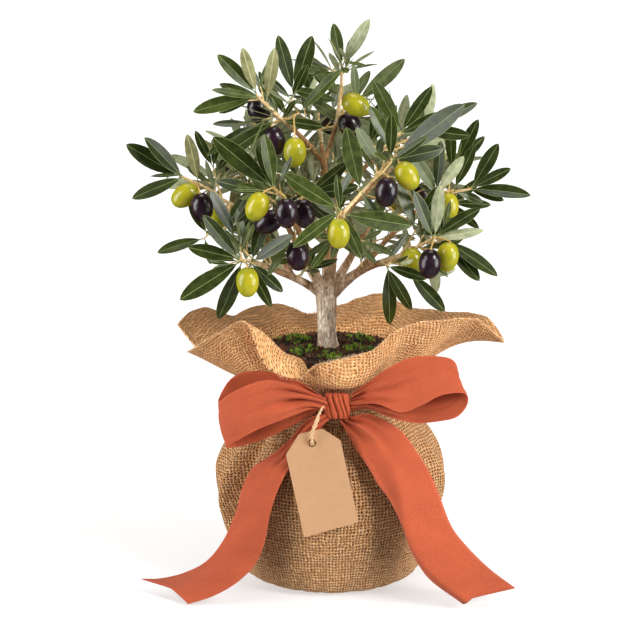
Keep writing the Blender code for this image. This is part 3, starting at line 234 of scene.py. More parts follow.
# name, sides, points
BOUGHS = (
    ("leader", 7, (
        (-3, 1, 236, 6.5), (-0.5, 2, 252, 5.1), (1, 3, 270, 4.2), (-1, 4, 292, 3.7), (-4, 4, 315, 3.2),
        (-6, 0, 337, 2.7),
    )),
    ("bough_left_front", 7, (
        (-7, -4, 232, 5), (-13, -14, 251, 4), (-19, -30, 272, 3.2), (-30, -55, 303, 2.2),
    )),
    ("bough_right", 7, ((2, -3, 231, 5.2), (14, -8, 244, 4.3), (27, -15, 253.5, 3.3), (41, -28, 262, 2.6))),
    ("bough_left", 7, ((-8, -3, 231, 4.6), (-20, -8, 240, 3.6), (-36, -24, 251, 3), (-51, -44, 261.5, 2.4))),
    ("bough_back_right", 5, ((1, 6, 233, 4.3), (16, 22, 255, 3.3), (34, 45, 283, 2.2))),
    ("bough_back_left", 5, ((-8, 6, 232, 4.3), (-22, 24, 254, 3.3), (-38, 48, 281, 2.2))),
    ("bough_back", 5, ((-3, 7, 234, 4), (-5, 30, 258, 3), (-6, 56, 280, 2.1))),
    ("bough_far_left", 5, (
        (-30, -17, 247, 2.9), (-44, -12, 268, 2.3), (-58, -9, 288, 2), (-68, -10, 298, 1.8),
    )),
    ("bough_far_right", 5, ((22, -12, 250, 2.9), (42, -4, 272, 2.3), (62, 0, 292, 1.9), (74, -6, 303, 1.7))),
    ("bough_front", 5, ((1, 0, 259, 3.6), (5, -22, 276, 2.8), (8, -48, 290, 2.2), (9, -76, 304, 2))),
    ("bough_upper_right", 5, ((-2, 3, 298, 3.3), (16, -6, 322, 2.4), (34, -24, 344, 1.8))),
    ("bough_upper_left", 5, ((-6.3, 0, 337.6, 2.8), (-19, -10, 353, 2.2), (-30, -21, 366, 1.8))),
    ("bough_top", 5, ((-5.4, 0.4, 337.8, 2.6), (0, 5, 352, 2.1), (4, 4, 366, 1.7))),
    ("bough_upper_back", 5, ((-3, 4, 308, 3.1), (-6, 26, 330, 2.3), (-8, 44, 346, 1.8))),
    ("bough_mid_right", 5, ((0, 4, 282, 3.1), (22, 20, 303, 2.4), (44, 30, 322, 1.8))),
    ("bough_mid_left", 5, ((-2, 4, 287, 3.1), (-24, 18, 306, 2.4), (-46, 24, 322, 1.8))),
)
BARK_VOXEL = 0.7
BARK_SLIM = 0.94
# scar of a lost bough on the front of the fork
SCAR = (-3.2, -10.5, 235.0)

# Foliage masses: name, bough, stem points after the bough's tip, and shoots.
# A shoot is (share of the stem it leaves at, tip, leaves); a leaf is its
# bearing in the upright plane facing the front and its length, and a bare
# number is a count of pairs set square to each other by the rule.
MASSES = (
    ("leaves_far_left", "bough_far_left", ((-85, -12, 308), (-96, -15, 317), (-115, -18, 327)), (
        (1, (-117, -18, 328), ((151, 45), (134, 24), (132, 40), (197, 38))),
        (0.62, (-104, -16, 322), ((98, 36), (184, 29))),
        (0.35, (-93, 4, 331), ((117, 28), (84, 20), (52, 28))),
        (0.2, (-101, 9, 273), ((189, 33), (286, 18), (120, 26), (76, 30))),
        (0.1, (-84, -22, 284), ((60, 34), (20, 34))), (0.1, (-80, 16, 280), 2),
    )),
    ("leaves_low_left", "bough_left", ((-60, -57, 268), (-68, -70, 272)), (
        (1, (-70, -71, 273), ((129, 40), (165, 36), (209, 49), (250, 49))),
        (0.45, (-63, -68, 270), ((293, 35), (318, 32), (38, 36), (74, 34))),
        (0.2, (-74, -40, 282), ((116, 38), (62, 30))),
    )),
    ("leaves_front_left", "bough_left_front", ((-36, -68, 316), (-42, -80, 328)), (
        (1, (-44, -81, 330), ((140, 55), (95, 38), (110, 33))),
        (0.3, (-52, -62, 322), ((165, 34), (226, 24), (122, 32))),
        (0.1, (-18, -66, 322), ((38, 36), (12, 34), (320, 30))),
    )),
    ("leaves_front", "bough_front", ((9, -88, 309), (9, -95, 314), (26, -86, 331), (40, -74, 346)), (
        (0.3, (7, -97, 316), ((152, 46), (214, 39), (347, 51), (293, 35))),
        (0.62, (22, -90, 329), ((104, 48), (300, 30))),
        (1, (48, -71, 353), ((115, 37), (38, 61), (87, 32), (9, 38))), (0.8, (45, -86, 351), ((37, 29),)),
        (0.85, (38, -77, 344), ((122, 33),)),
    )),
    ("leaves_upper_left", "bough_upper_left", ((-41, -33, 377), (-51, -42, 388), (-56, -46, 394)), (
        (1, (-57, -46, 396), ((134, 38), (109, 33), (170, 31), (188, 46))),
        (0.6, (-50, -38, 389), ((80, 37), (160, 34))),
        (0.15, (-42, -32, 374), ((210, 34), (213, 50), (350, 28), (60, 15))),
        (0.12, (-25, -33, 380), ((49, 43),)),
        (0.1, (-29, -18, 393), ((106, 42), (73, 42), (66, 26), (137, 22))),
        (0.25, (-60, -10, 368), ((228, 32), (178, 28), (205, 42))),
    )),
    ("leaves_top", "bough_top", ((6, 3, 380), (8, 1, 398), (8, 0, 409)), (
        (1, (8, 0, 411), ((100, 31), (62, 40))), (0.15, (20, 8, 383), ((40, 46), (96, 26), (63, 26))),
        (0.1, (8, 20, 384), ((127, 39), (134, 34), (166, 34))),
        (0.2, (14, 4, 366), ((152, 30), (224, 28), (338, 28))), (0.3, (0, 40, 370), 3),
    )),
    ("leaves_upper_right", "bough_upper_right", ((42, -34, 354), (51, -45, 365)), (
        (1, (53, -46, 367), ((58, 38), (117, 40), (25, 36))),
        (0.2, (74, -12, 366), ((21, 40), (80, 29), (352, 34))),
        (0.2, (60, 2, 350), ((50, 32), (5, 34), (110, 26))),
        (0.2, (30, -22, 354), ((76, 30), (56, 32), (200, 28))),
    )),
    ("leaves_far_right", "bough_far_right", ((89, -12, 313), (100, -11, 315), (108, -10, 316)), (
        (1, (110, -10, 317), ((56, 36), (28, 30), (2, 43), (347, 24))),
        (0.4, (96, -12, 316), ((64, 35), (335, 22))), (0.15, (98, 10, 332), ((62, 36), (41, 28), (95, 32))),
        (0.1, (82, -24, 316), ((51, 31), (85, 36), (118, 34))),
        (0.2, (96, 6, 302), ((359, 27), (42, 26), (318, 28))),
    )),
    ("leaves_low_right", "bough_right", ((52, -38, 268), (66, -50, 278), (78, -60, 287)), (
        (1, (79, -61, 288), ((33, 37), (83, 36), (111, 36), (9, 35))),
        (0.85, (88, -44, 283), ((329, 42), (312, 35))), (0.7, (77, -46, 272), ((281, 30),)),
        (0.1, (42, -58, 265), ((346, 28), (299, 38), (273, 46))),
        (0.1, (60, -42, 256), ((315, 38), (0, 34))), (0.35, (66, -30, 288), ((62, 36), (110, 34), (18, 38))),
    )),
    ("leaves_back_left", "bough_back_left", ((-52, 66, 296), (-64, 82, 306)), (
        (1, (-72, 92, 314), 3), (0.3, (-84, 56, 310), 3), (0.4, (-40, 92, 322), 3), (0.2, (-66, 66, 276), 3),
        (0.2, (-50, 44, 302), 2),
    )),
    ("leaves_back_right", "bough_back_right", ((48, 62, 298), (60, 80, 308)), (
        (1, (68, 90, 316), 3), (0.3, (82, 54, 308), 3), (0.4, (34, 92, 322), 3), (0.2, (66, 64, 276), 3),
        (0.2, (44, 42, 302), 3), (0.1, (34, 66, 282), 2),
    )),
    ("leaves_back", "bough_back", ((-4, 76, 294), (-2, 92, 304)), (
        (1, (-2, 106, 312), 3), (0.3, (-30, 88, 290), 3), (0.3, (24, 88, 288), 3), (0.2, (-4, 84, 318), 2),
    )),
    ("leaves_upper_back", "bough_upper_back", ((-10, 56, 358), (-10, 64, 370)), (
        (1, (-10, 68, 378), 3), (0.2, (-42, 52, 364), 3), (0.2, (24, 58, 364), 3), (0.3, (-8, 84, 352), 3),
        (0.1, (-30, 26, 376), 2),
    )),
    ("leaves_mid_right", "bough_mid_right", ((58, 34, 332), (70, 36, 342)), (
        (1, (76, 38, 348), 3), (0.1, (88, 34, 326), 3), (0.3, (54, 56, 350), 3), (0.2, (50, 16, 346), 2),
    )),
    ("leaves_mid_left", "bough_mid_left", ((-58, 30, 328), (-64, 36, 334)), (
        (1, (-66, 42, 338), 3), (0.1, (-92, 34, 316), 3), (0.3, (-52, 56, 344), 3), (0.2, (-50, 10, 340), 2),
    )),
)
# olives of each mass: centre, colour and lean in degrees
FRUIT = {
    "leaves_far_left": (
        (-114, -26, 314, "green", 55), (-100, -39, 307, "black", -8), (-91, 0, 291, "green", 10),
    ),
    "leaves_low_left": ((-64, -80, 257, "green", 0),),
    "leaves_front_left": (
        (-56, -88, 317, "green", 25), (-34, -93, 313, "black", -4), (-48, -67, 301, "black", 60),
        (-21, -74, 309, "black", -10), (-26, -64, 274, "black", -5),
    ),
    "leaves_upper_left": (
        (-56, -22, 380, "black", -20), (-44, -38, 359, "black", -10), (-28, -50, 352, "green", 0),
    ),
    "leaves_top": ((19, -26, 385, "green", -62), (15, -4, 365, "black", -28)),
    "leaves_front": ((5, -101, 299, "green", -3), (57, -80, 339, "green", -32), (41, -87, 328, "black", 6)),
    "leaves_far_right": ((91, -21, 304, "green", 0),),
    "leaves_low_right": (
        (75, -74, 270, "black", 4), (89, -62, 273, "green", 8), (63, -50, 266, "green", -12),
    ),
    "leaves_back_left": ((-62, 84, 290, "black", 0), (-46, 78, 300, "green", 0)),
    "leaves_back_right": ((56, 78, 291, "green", 0), (74, 62, 296, "black", 0)),
    "leaves_back": ((-10, 100, 293, "black", 0), (8, 98, 296, "green", 0)),
    "leaves_upper_back": ((-2, 74, 358, "black", 0),), "leaves_mid_right": ((84, 44, 332, "green", 0),),
    "leaves_mid_left": ((-80, 40, 330, "black", 0),),
}
LEAF_LONG = 46.0
LEAF_WIDE = 0.285
LEAF_THICK = 0.9
PETIOLE = 4.0
FINE_LEAF = 37.5
LEAF_RINGS = {1: ((0.45, 1.12),), 2: ((0.32, 0.92), (0.68, 0.9))}
PAIR_STEP = 9.0
TWIG_START = 1.25
TWIG_TIP = 0.8
FRUIT_RADIUS = 8.7
FRUIT_HALF = 11.6
STALK_RADIUS = 0.7
TRIES = 7
CROWN_CENTRE = Vector((0, 0, 300))
SPURS = 9
SPUR_SHARE = 0.35
LEAF_STATIONS = (0, 0.05, 0.1, 0.17, 0.26, 0.37, 0.49, 0.61, 0.72, 0.82, 0.9, 0.96, 1)
SMALL_STATIONS = (0, 0.08, 0.22, 0.42, 0.62, 0.82, 1)
BLADE_START = 0.09
LEAF_FULL = 0.90
RIB_HALF = 0.22
RIM_WIDE = 0.20
LEAF_SKIN = 0.30
SMALL_SPRAYS = 5
INNER_SPRAYS = 3
INNER_EDGE = 30.0
INNER_HEIGHTS = (238.0, 362.0)
# lengths of the extra sprays, and the room left free at their foot
SMALL_REACH = (7.0, 15.0)
SMALL_CLEAR = 2.0
INNER_REACH = (12.0, 34.0)
INNER_CLEAR = 6.0
SMALL_LEAF_LENGTHS = (17.0, 31.0)
# shares of the leaves that turn over, that start a new shade, and that differ from their spray
DOWN_SIDE_SHARE = 0.02
NEW_LOOK_SHARE = 0.3
OWN_SHADE_SHARE = 0.2
# places seen from the front, x and z, where an underside shows
UNDERSIDES = (
    (18, 431), (-63, 414), (-46, 409), (-107, 342), (-127, 338), (-121, 321), (81, 308), (97, 290),
    (77, 382), (93, 330), (-17, 391), (80, 255),
)
# places where a leaf is deep green
DEEP_GREENS = ((-67, 349), (74, 373), (69, 374), (-84, 290), (-45.5, 281))
PLACE_REACH = 4.0
# odds of a deep, middling, grey or fresh green, where a mass leans to one; the grey is partly painted sheen
SHADES = {
    "leaves_low_left": (66, 18, 6, 10), "leaves_low_right": (56, 24, 10, 10),
    "leaves_far_left": (50, 26, 12, 12), "leaves_far_right": (42, 28, 10, 20),
    "leaves_front": (30, 38, 26, 6), "leaves_front_left": (42, 34, 18, 6),
    "leaves_upper_left": (46, 26, 12, 16), "leaves_upper_right": (44, 42, 4, 10),
}
SHADES_ELSEWHERE = (34, 34, 22, 10)
# places of the leaf's materials in their list
SILVER, OLIVE, RIB, RIB_UNDER, EDGE = 4, 5, 6, 7, 8

# Studio: sun lights with their place, size in degrees and strength
LIGHTS = (
    ("key_light", (1.1, -0.8, 1.1), 22.0, 2.45),
    ("fill_light", (-1.3, -0.65, 0.9), 34.0, 1.6),
    ("top_light", (0.05, 0.3, 1.3), 36.0, 1.1),
    ("side_light_right", (1.4, -0.5, 0.16), 40.0, 2.4),
    ("side_light_left", (-1.4, -0.4, 0.16), 40.0, 2.1),
    ("bounce_light", (0.2, -0.45, -0.9), 80.0, 0.45),
)
LIGHT_AIM = Vector((0, 0, 0.22))
SKY_STRENGTH = 0.34
FLOOR_TONE = 0.52
FLOOR_HALF = 30.0
FLOOR_DROP = 0.0004
CAMERA_AIM = Vector((-0.0088, 0, 0.2082))
CAMERA_AWAY = 1.849
CAMERA_TILT = 13.5
CAMERA_LENS = 130.0
CAMERA_SENSOR = 36.0


# Curves and simple shapes
def spline(a, b, c, d, t):
    """Value between b and c on a Catmull-Rom curve through all four."""
    square, cube = 2 * a - 5 * b + 4 * c - d, 3 * b - a - 3 * c + d
    return 0.5 * (2 * b + (c - a) * t + square * t * t + cube * t ** 3)


def eased(a, b, leaving, arriving, t):
    """Value between a and b that leaves and arrives at given slopes."""
    return (a * (2 * t ** 3 - 3 * t ** 2 + 1) + leaving * (t ** 3 - 2 * t ** 2 + t)
            + b * (3 * t ** 2 - 2 * t ** 3) + arriving * (t ** 3 - t ** 2))


def limited(value):
    """Value kept between 0 and 1."""
    return min(1.0, max(0.0, value))


def hump(distance, width):
    """Bell curve: 1 at no distance, and next to nothing at twice the width."""
    return math.exp(-(distance / width) ** 2)


def short_way(turn):
    """Angle in degrees brought between -180 and 180."""
    return (turn + 180.0) % 360.0 - 180.0


def polar(radius, angle, height):
    """Point at a radius, bearing and height."""
    return Vector((radius * math.cos(angle), radius * math.sin(angle), height))


def rough(x, y, z, size):
    """Smooth noise over a size in millimetres, from about -1 to 1."""
    return noise.noise(Vector((x / size, y / size, z / size)))


def any_way(rng, low=-1, high=1):
    """Random vector whose rise lies between low and high."""
    return Vector((rng.uniform(-1, 1), rng.uniform(-1, 1), rng.uniform(low, high)))


def around(columns):
    """Even angles round a circle."""
    return [2 * math.pi * k / columns for k in range(columns)]


def smooth(points, steps):
    """Points of a Catmull-Rom curve through the given ones."""
    rows = [Vector(p) for p in points]
    if len(rows) < 3:
        return [rows[0].lerp(rows[-1], i / steps) for i in range(steps + 1)]
    ends = [2 * rows[0] - rows[1]] + rows + [2 * rows[-1] - rows[-2]]
    out = [spline(*ends[i - 1:i + 3], k / steps) for i in range(1, len(ends) - 2) for k in range(steps)]
    return out + [rows[-1].copy()]


def across(direction, like=UP):
    """Unit vector square to a direction and as near as can be to another."""
    side = like - direction * like.dot(direction)
    if side.length < 1e-3:
        side = RIGHT - direction * direction.x
    return side.normalized()


def ahead_at(points, i):
    """Direction that a row of points takes at one of them."""
    return (points[min(i + 1, len(points) - 1)] - points[max(i - 1, 0)]).normalized()


def circle(centre, side, other, radius, count):
    """Points round a centre, in the plane of two directions."""
    return [centre + (side * math.cos(a) + other * math.sin(a)) * radius for a in around(count)]


def tapered(first, last, count):
    """Radii that fall evenly from one to the other."""
    return [first + (last - first) * i / (count - 1) for i in range(count)]


def quads(rows, columns, first=0, closed=True):
    """Faces between rows of points; closed rows come back to their start."""
    out = []
    for a in range(first, first + (rows - 1) * columns, columns):
        for k in range(columns if closed else columns - 1):
            n = (k + 1) % columns
            out.append((a + k, a + n, a + columns + n, a + columns + k))
    return out


def caps(rows, columns):
    """Faces that close the first and the last of closed rows of points."""
    return [tuple(range(columns - 1, -1, -1)), tuple((rows - 1) * columns + k for k in range(columns))]


def tube(points, radii, sides):
    """Closed tapering tube along a row of points."""
    verts = []
    side = Vector((0.3, 1, 0.2))
    for i, (point, radius) in enumerate(zip(points, radii)):
        ahead = ahead_at(points, i)
        side = across(ahead, side)
        verts += circle(point, side, ahead.cross(side), radius, sides)
    return verts, quads(len(points), sides) + caps(len(points), sides)


def turned_solid(rows, columns):
    """Closed skin from rings of points that start and end at one point."""
    verts = [rows[0][0]] + [p for row in rows[1:-1] for p in row] + [rows[-1][0]]
    end = len(verts) - 1
    faces = [(0, 1 + (k + 1) % columns, 1 + k) for k in range(columns)]
    faces += quads(len(rows) - 2, columns, 1)
    a = end - columns
    faces += [(end, a + k, a + (k + 1) % columns) for k in range(columns)]
    return verts, faces


# The sack's and the collar's own shape
def between(table, x):
    """Straight-line value of a table at x."""
    for (x0, y0), (x1, y1) in zip(table, table[1:]):
        if x <= x1:
            return y0 + (y1 - y0) * (x - x0) / (x1 - x0)
    return table[-1][1]


def gathers(angle, z):
    """Inward depth of the gathers and the side fold at a place on the sack."""
    rise = limited((z - 70.0) / 75.0)
    wave = 0.5 + 0.5 * math.cos(GATHERS * angle + 1.3 * math.sin(3 * angle))
    turn = short_way(math.degrees(angle) - SIDE_FOLD_ANGLE - 0.06 * (z - 40.0))
    low = max(0.0, 1.0 - abs(z - SIDE_FOLD_HEIGHT) / 55.0)
    return GATHER_DEPTH * rise * wave + SIDE_FOLD_DEPTH * low * hump(turn, 5.0)


def sack_point(angle, z, inset=0.0):
    """Point of the sack's side, moved inwards by inset."""
    return polar(between(SACK_PROFILE, z) - gathers(angle, z) - inset, angle, z)


def rim(angle):
    """Radius and height of the collar's hem at an angle."""
    turn = math.degrees(angle)
    start = COLLAR_RIM[0][0]
    while turn < start:
        turn += 360.0
    while turn >= start + 360.0:
        turn -= 360.0
    count = len(COLLAR_RIM)

    def entry(i):
        a, r, z = COLLAR_RIM[i % count]
        return Vector((a + 360.0 * (i // count), r, z))

    i = max(k for k in range(count) if COLLAR_RIM[k][0] <= turn)
    a, b, c, d = (entry(i + k) for k in (-1, 0, 1, 2))
    leaving = (c - a) * ((c.x - b.x) / (c.x - a.x)) * 0.8
    arriving = (d - b) * ((c.x - b.x) / (d.x - b.x)) * 0.8
    spot = eased(b, c, leaving, arriving, (turn - b.x) / (c.x - b.x))
    return spot.y, spot.z


def collar_point(angle, t, inset):
    """Point of the collar from its foot (t = 0) to its hem (t = 1), moved inwards by inset."""
    z0, r0 = COLLAR_FOOT
    r1, z1 = rim(angle)
    r0 = r0 - gathers(angle, z0)
    steep = limited((z1 - z0) / 60.0)
    droop = hump(short_way(math.degrees(angle) - LIP_ANGLE), LIP_WIDTH)
    r = r0 + (r1 - r0) * (t ** (1.0 + 0.1 * steep)) + 1.2 * math.sin(math.pi * t) * math.cos(11 * angle)
    z = z0 + (z1 - z0) * (t ** 1.12) + LIP_RISE * math.sin(math.pi * t) * droop
    slope = math.atan2((z1 - z0), (r1 - r0))
    return polar(r - inset * math.sin(slope), angle, z + inset * math.cos(slope) * t)


# The crown's own growth, by the same rule and seed as the solids
def tree_of(verts, faces):
    """Search tree of a mesh, for the clearance tests."""
    return BVHTree.FromPolygons([tuple(v) for v in verts], faces)


def box_of(verts):
    """Lowest and highest corner of a row of points."""
    return (Vector([min(v[a] for v in verts) for a in range(3)]),
            Vector([max(v[a] for v in verts) for a in range(3)]))


class Kept:
    """Parts already placed, each with a box and a search tree."""

    def __init__(self):
        self.items = []

    def add(self, owner, verts, faces, kind):
        low, high = box_of(verts)
        self.items.append((owner, kind, low, high, tree_of(verts, faces)))

    def hits(self, verts, faces, skip):
        """Whether a shape touches a kept part that skip doesn't leave out."""
        low, high = box_of(verts)
        tree = None
        for owner, kind, a, b, other in self.items:
            if skip(owner, kind) or any(low[i] > b[i] or high[i] < a[i] for i in range(3)):
                continue
            tree = tree or tree_of(verts, faces)
            if tree.overlap(other):
                return True
        return False


def leaf_mesh(root, along, face, length, wide, sag, rings, grow=0.0):
    """Plain leaf with a ridged top; grow fattens it for the tests."""
    side = along.cross(face)
    verts = [root - along * (0.9 - grow)]
    for share, width in LEAF_RINGS[rings]:
        middle = root + along * length * share - face * sag * share * share * length
        half = wide / 2 * width + grow
        verts += [middle + side * half - face * grow, middle + face * (LEAF_THICK + grow),
                  middle - side * half - face * grow]
    last = len(verts)
    verts.append(root + along * (length + grow) - face * sag * length)
    faces = []
    for k in range(3):
        n = (k + 1) % 3
        faces += [(0, 1 + n, 1 + k), (last, last - 3 + k, last - 3 + n)]
        faces += [(1 + k, 1 + n, 4 + n, 4 + k)] * (rings - 1)
    return verts, faces


def leaf_face(along, outward, roll):
    """Direction a leaf's upper side faces, rolled about the leaf."""
    return Matrix.Rotation(roll, 3, along) @ across(along, outward)


def stem_point(points, share):
    """Point and direction at a share of a stem's length."""
    place = min(share, 0.999) * (len(points) - 1)
    i = int(place)
    step = points[i + 1] - points[i]
    return points[i] + step * (place - i), step.normalized()


def leaf_plan(rng, shoot_from, tip, leaves):
    """Root, direction, whether it has a given bearing, and length of each leaf of a shoot."""
    run = tip - shoot_from
    ahead = run.normalized()
    out = []
    if not isinstance(leaves, int):
        for index, (bearing, length) in enumerate(leaves):
            root = tip - ahead * min(PAIR_STEP * (index // 2) * 0.6, run.length * 0.8)
            a = math.radians(bearing)
            out.append((root, Vector((math.cos(a), 0, math.sin(a))), True, length))
        return out
    turn = rng.uniform(0, math.pi)
    base = across(ahead)
    for pair in range(leaves):
        root = tip - ahead * min(PAIR_STEP * pair, run.length * 0.9)
        for half in (0, 1):
            spin = turn + pair * math.pi / 2 + half * math.pi + rng.uniform(-0.3, 0.3)
            side = Matrix.Rotation(spin, 3, ahead) @ base
            spread = math.radians(rng.uniform(32, 50) + 8 * pair)
            way = (ahead * math.cos(spread) + side * math.sin(spread)).normalized()
            out.append((root, way, False, LEAF_LONG * rng.uniform(0.78, 1.04)))
    return out


def centre_line(rows, steps):
    """Smoothed points and radii of a limb whose rows hold a point and a radius."""
    radii = smooth([(r[3], 0, 0) for r in rows], steps)
    return smooth([r[:3] for r in rows], steps), [v.x for v in radii]


def limb(rows, steps, sides):
    """Tapering limb, made fatter by the room that lies round it."""
    line, radii = centre_line(rows, steps)
    line[0] = line[0] + (line[0] - line[1]).normalized() * GAP
    line[-1] = line[-1] + (line[-1] - line[-2]).normalized() * GAP
    return tube(line, [r + GAP * 1.1 for r in radii], sides)


def grow_stem(name, bough, stem, kept, tips):
    """Main stem of a mass, clear of the tip of its bough."""
    start, heading, radius = tips[bough]
    points = [start + heading * GAP, start + heading * 3.5] + smooth(stem, 2)
    kept.add(name, *tube(points, tapered(radius, TWIG_START, len(points)), 5), "wood")
    return points


def grow_shoots(name, points, shoots, kept):
    """Side twigs of a mass that touch nothing outside it."""
    twigs = []
    for share, tip, leaves in shoots:
        tip = Vector(tip)
        root, _ = stem_point(points, max(share, 1.6 / (len(points) - 1)))
        if (tip - root).length < 6.0:
            root = root - (tip - root).normalized() * 0.5
        middle = root.lerp(tip, 0.5) - UP * 0.05 * (tip - root).length
        path = [root, middle, tip] if (tip - root).length > 30.0 else [root, tip]
        test = [root.lerp(tip, 0.1)] + path[1:]
        if kept.hits(*tube(test, tapered(1.8, 1.4, len(path)), 3), lambda owner, kind: owner == name):
            continue
        kept.add(name, *tube(path, tapered(TWIG_START, TWIG_TIP, len(path)), 3), "wood")
        twigs.append((root, tip, leaves))
    return twigs


def grow_leaves(name, twigs, kept, rng):
    """Leaves of every shoot that find room."""
    found = []
    for root, tip, leaves in twigs:
        for place, way, front, length in leaf_plan(rng, root, tip, leaves):
            leaf = fit_leaf(rng, name, place, way, front, length, kept)
            if leaf:
                found.append(leaf)
    return found


def fit_leaf(rng, name, place, way, front, length, kept):
    """First of a few tilts at which a leaf clears everything placed before."""
    for attempt in range(TRIES):
        lean = rng.uniform(-0.42, 0.30) if front else rng.uniform(-0.25, 0.25)
        roll = rng.uniform(-0.5, 0.5)
        sag = rng.uniform(0.0, 0.09)
        if front:
            along = Vector((way.x, lean, way.z)).normalized()
            outward = Vector((0, -1, 0.45))
            reach = (length + PETIOLE) * math.sqrt(1.0 + lean * lean)
        else:
            along = (way + any_way(rng) * 0.12 * attempt + UP * (lean * 0.5)).normalized()
            outward = (place - CROWN_CENTRE).normalized() + UP * 0.7
            reach = length * (1.0 - 0.04 * attempt)
        face = leaf_face(along, outward, roll)
        wide = reach * LEAF_WIDE * rng.uniform(0.92, 1.12)
        root = place + along * 0.2 + face * rng.uniform(-0.15, 0.15)
        rings = 2 if front and length > FINE_LEAF else 1
        cut = leaf_mesh(root + along * 5.0, along, face, reach - 5.0, wide, sag, rings, 0.25)
        if kept.hits(*cut, lambda owner, kind: owner != name or kind in ("wood", "leaf")):
            continue
        grown = leaf_mesh(root, along, face, reach, wide, sag, rings, 0.4)
        if kept.hits(*grown, lambda owner, kind: owner == name or kind == "blade"):
            continue
        kept.add(name, *leaf_mesh(root, along, face, reach, wide, sag, rings), "leaf")
        kept.add(name, *cut, "blade")
        return root, along, face, reach, wide, sag
    return None


def olive_body(centre, axis, rings, columns, foot, top):
    """Skin of an olive about its axis; a ring is its share of the half length and its radius."""
    side = across(axis, RIGHT)
    other = axis.cross(side)
    rows = [[centre - axis * foot]]
    rows += [circle(centre + axis * rise * FRUIT_HALF, side, other, radius, columns)
             for rise, radius in rings]
    return turned_solid(rows + [[centre + axis * top]], columns)


def fruit_mesh(centre, grow):
    """Plain upright olive of three rings, fattened for the tests."""
    half = FRUIT_HALF + grow
    rings = [(rise, (FRUIT_RADIUS + grow) * math.sqrt(1 - rise * rise) * 1.06) for rise in (-0.62, 0.0, 0.62)]
    return olive_body(centre, UP, rings, 6, half, half)


def fruit_stalk(name, centre, points, twigs, kept):
    """Place on the mass's nearest twig that an olive hangs from, if both find room."""
    top = centre + UP * (FRUIT_HALF - 1.0)
    spots = [stem_point(points, k / 12)[0] for k in range(13)]
    for root, tip, _ in twigs:
        spots += [root.lerp(tip, k / 6) for k in range(1, 7)]
    spots.sort(key=lambda p: (p - top).length + 3.0 * max(0.0, top.z + 2.0 - p.z))
    if kept.hits(*fruit_mesh(centre, 0.5), lambda owner, kind: owner == name and kind in ("wood", "stalk")):
        return None
    for hang in spots[:20]:
        bend = [hang, hang.lerp(top, 0.5) + UP * 1.5, top] if (top - hang).length > 12.0 else [hang, top]
        wide = tube(bend, [STALK_RADIUS + 0.4] * len(bend), 3)
        if not kept.hits(*wide, lambda owner, kind: owner == name):
            break
    else:
        return None
    verts, faces = tube(bend, [STALK_RADIUS] * len(bend), 3)
    kept.add(name, *fruit_mesh(centre, 0.3), "fruit")
    kept.add(name, verts, faces, "stalk")
    return sum(verts[:3], Vector()) / 3


def plan_crown():
    """Bough tips, stems, shoots, leaves and hung olives of every mass."""
    kept = Kept()
    kept.add("trunk", *limb(TRUNK, 1, 10), "limb")
    tips = {}
    for name, sides, rows in BOUGHS:
        kept.add(name, *limb(rows, 2, sides), "limb")
        line, _ = centre_line(rows, 2)
        tips[name] = (Vector(rows[-1][:3]), (line[-1] - line[-2]).normalized(), rows[-1][3])
    for name in ("sack_body", "sack_collar"):
        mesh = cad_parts[name].data
        faces = [tuple(f.vertices) for f in mesh.polygons]
        kept.add(name, [v.co / MM for v in mesh.vertices], faces, "cloth")
    stems = {name: grow_stem(name, bough, stem, kept, tips) for name, bough, stem, _ in MASSES}
    twigs = {name: grow_shoots(name, stems[name], shoots, kept) for name, _, _, shoots in MASSES}
    olives = []
    for name, rows in FRUIT.items():
        for x, y, z, kind, lean in rows:
            centre = Vector((x, y, z))
            hang = fruit_stalk(name, centre, stems[name], twigs[name], kept)
            if hang:
                olives.append((centre, kind, math.radians(lean), hang))
    rng = random.Random(SEED)
    leaves = {name: grow_leaves(name, twigs[name], kept, rng) for name in twigs}
    return kept, tips, stems, twigs, olives, leaves


# Settings
def linear(code):
    """Linear colour of an sRGB hex value."""
    parts = [int(code[i:i + 2], 16) / 255 for i in (1, 3, 5)]
    return tuple(c / 12.92 if c <= 0.04045 else ((c + 0.055) / 1.055) ** 2.4 for c in parts)


class SackSettings(bpy.types.PropertyGroup):
    """Sizes and colours of the burlap sack."""
    thread: FloatProperty(name="Thread spacing", description="Distance between two yarns",
                          default=0.0027, min=0.001, max=0.006, subtype="DISTANCE", unit="LENGTH")
    yarn: FloatVectorProperty(name="Yarn", description="Colour of the lighter yarns",
                              default=linear("#FFC88C"), size=3, subtype="COLOR")
    yarn_dark: FloatVectorProperty(name="Darker yarn", description="Colour of the darker yarns",
                                   default=linear("#D28F50"), size=3, subtype="COLOR")
    # colour of the gaps, which the material also uses as painted shade where the weave lies low
    gap: FloatVectorProperty(name="Gap", description="Colour between the yarns",
                             default=linear("#48240A"), size=3, subtype="COLOR")
    hem_fibre: FloatProperty(name="Hem fibre", description="Longest loose fibre at the hem",
                             default=0.0034, min=0.0, max=0.01, subtype="DISTANCE", unit="LENGTH")


class BowSettings(bpy.types.PropertyGroup):
    """Sizes and colours of the ribbon, the tag and its twine."""
    ribbon: FloatVectorProperty(name="Ribbon", description="Colour of the ribbon",
                                default=linear("#B3491C"), size=3, subtype="COLOR")
    ribbon_wide: FloatProperty(name="Ribbon width", description="Width of the ribbon laid flat",
                               default=0.040, min=0.01, max=0.08, subtype="DISTANCE", unit="LENGTH")
    card: FloatVectorProperty(name="Card", description="Colour of the tag",
                              default=linear("#B88C65"), size=3, subtype="COLOR")
    twine: FloatVectorProperty(name="Twine", description="Colour of the twine",
                               default=linear("#DDBD90"), size=3, subtype="COLOR")


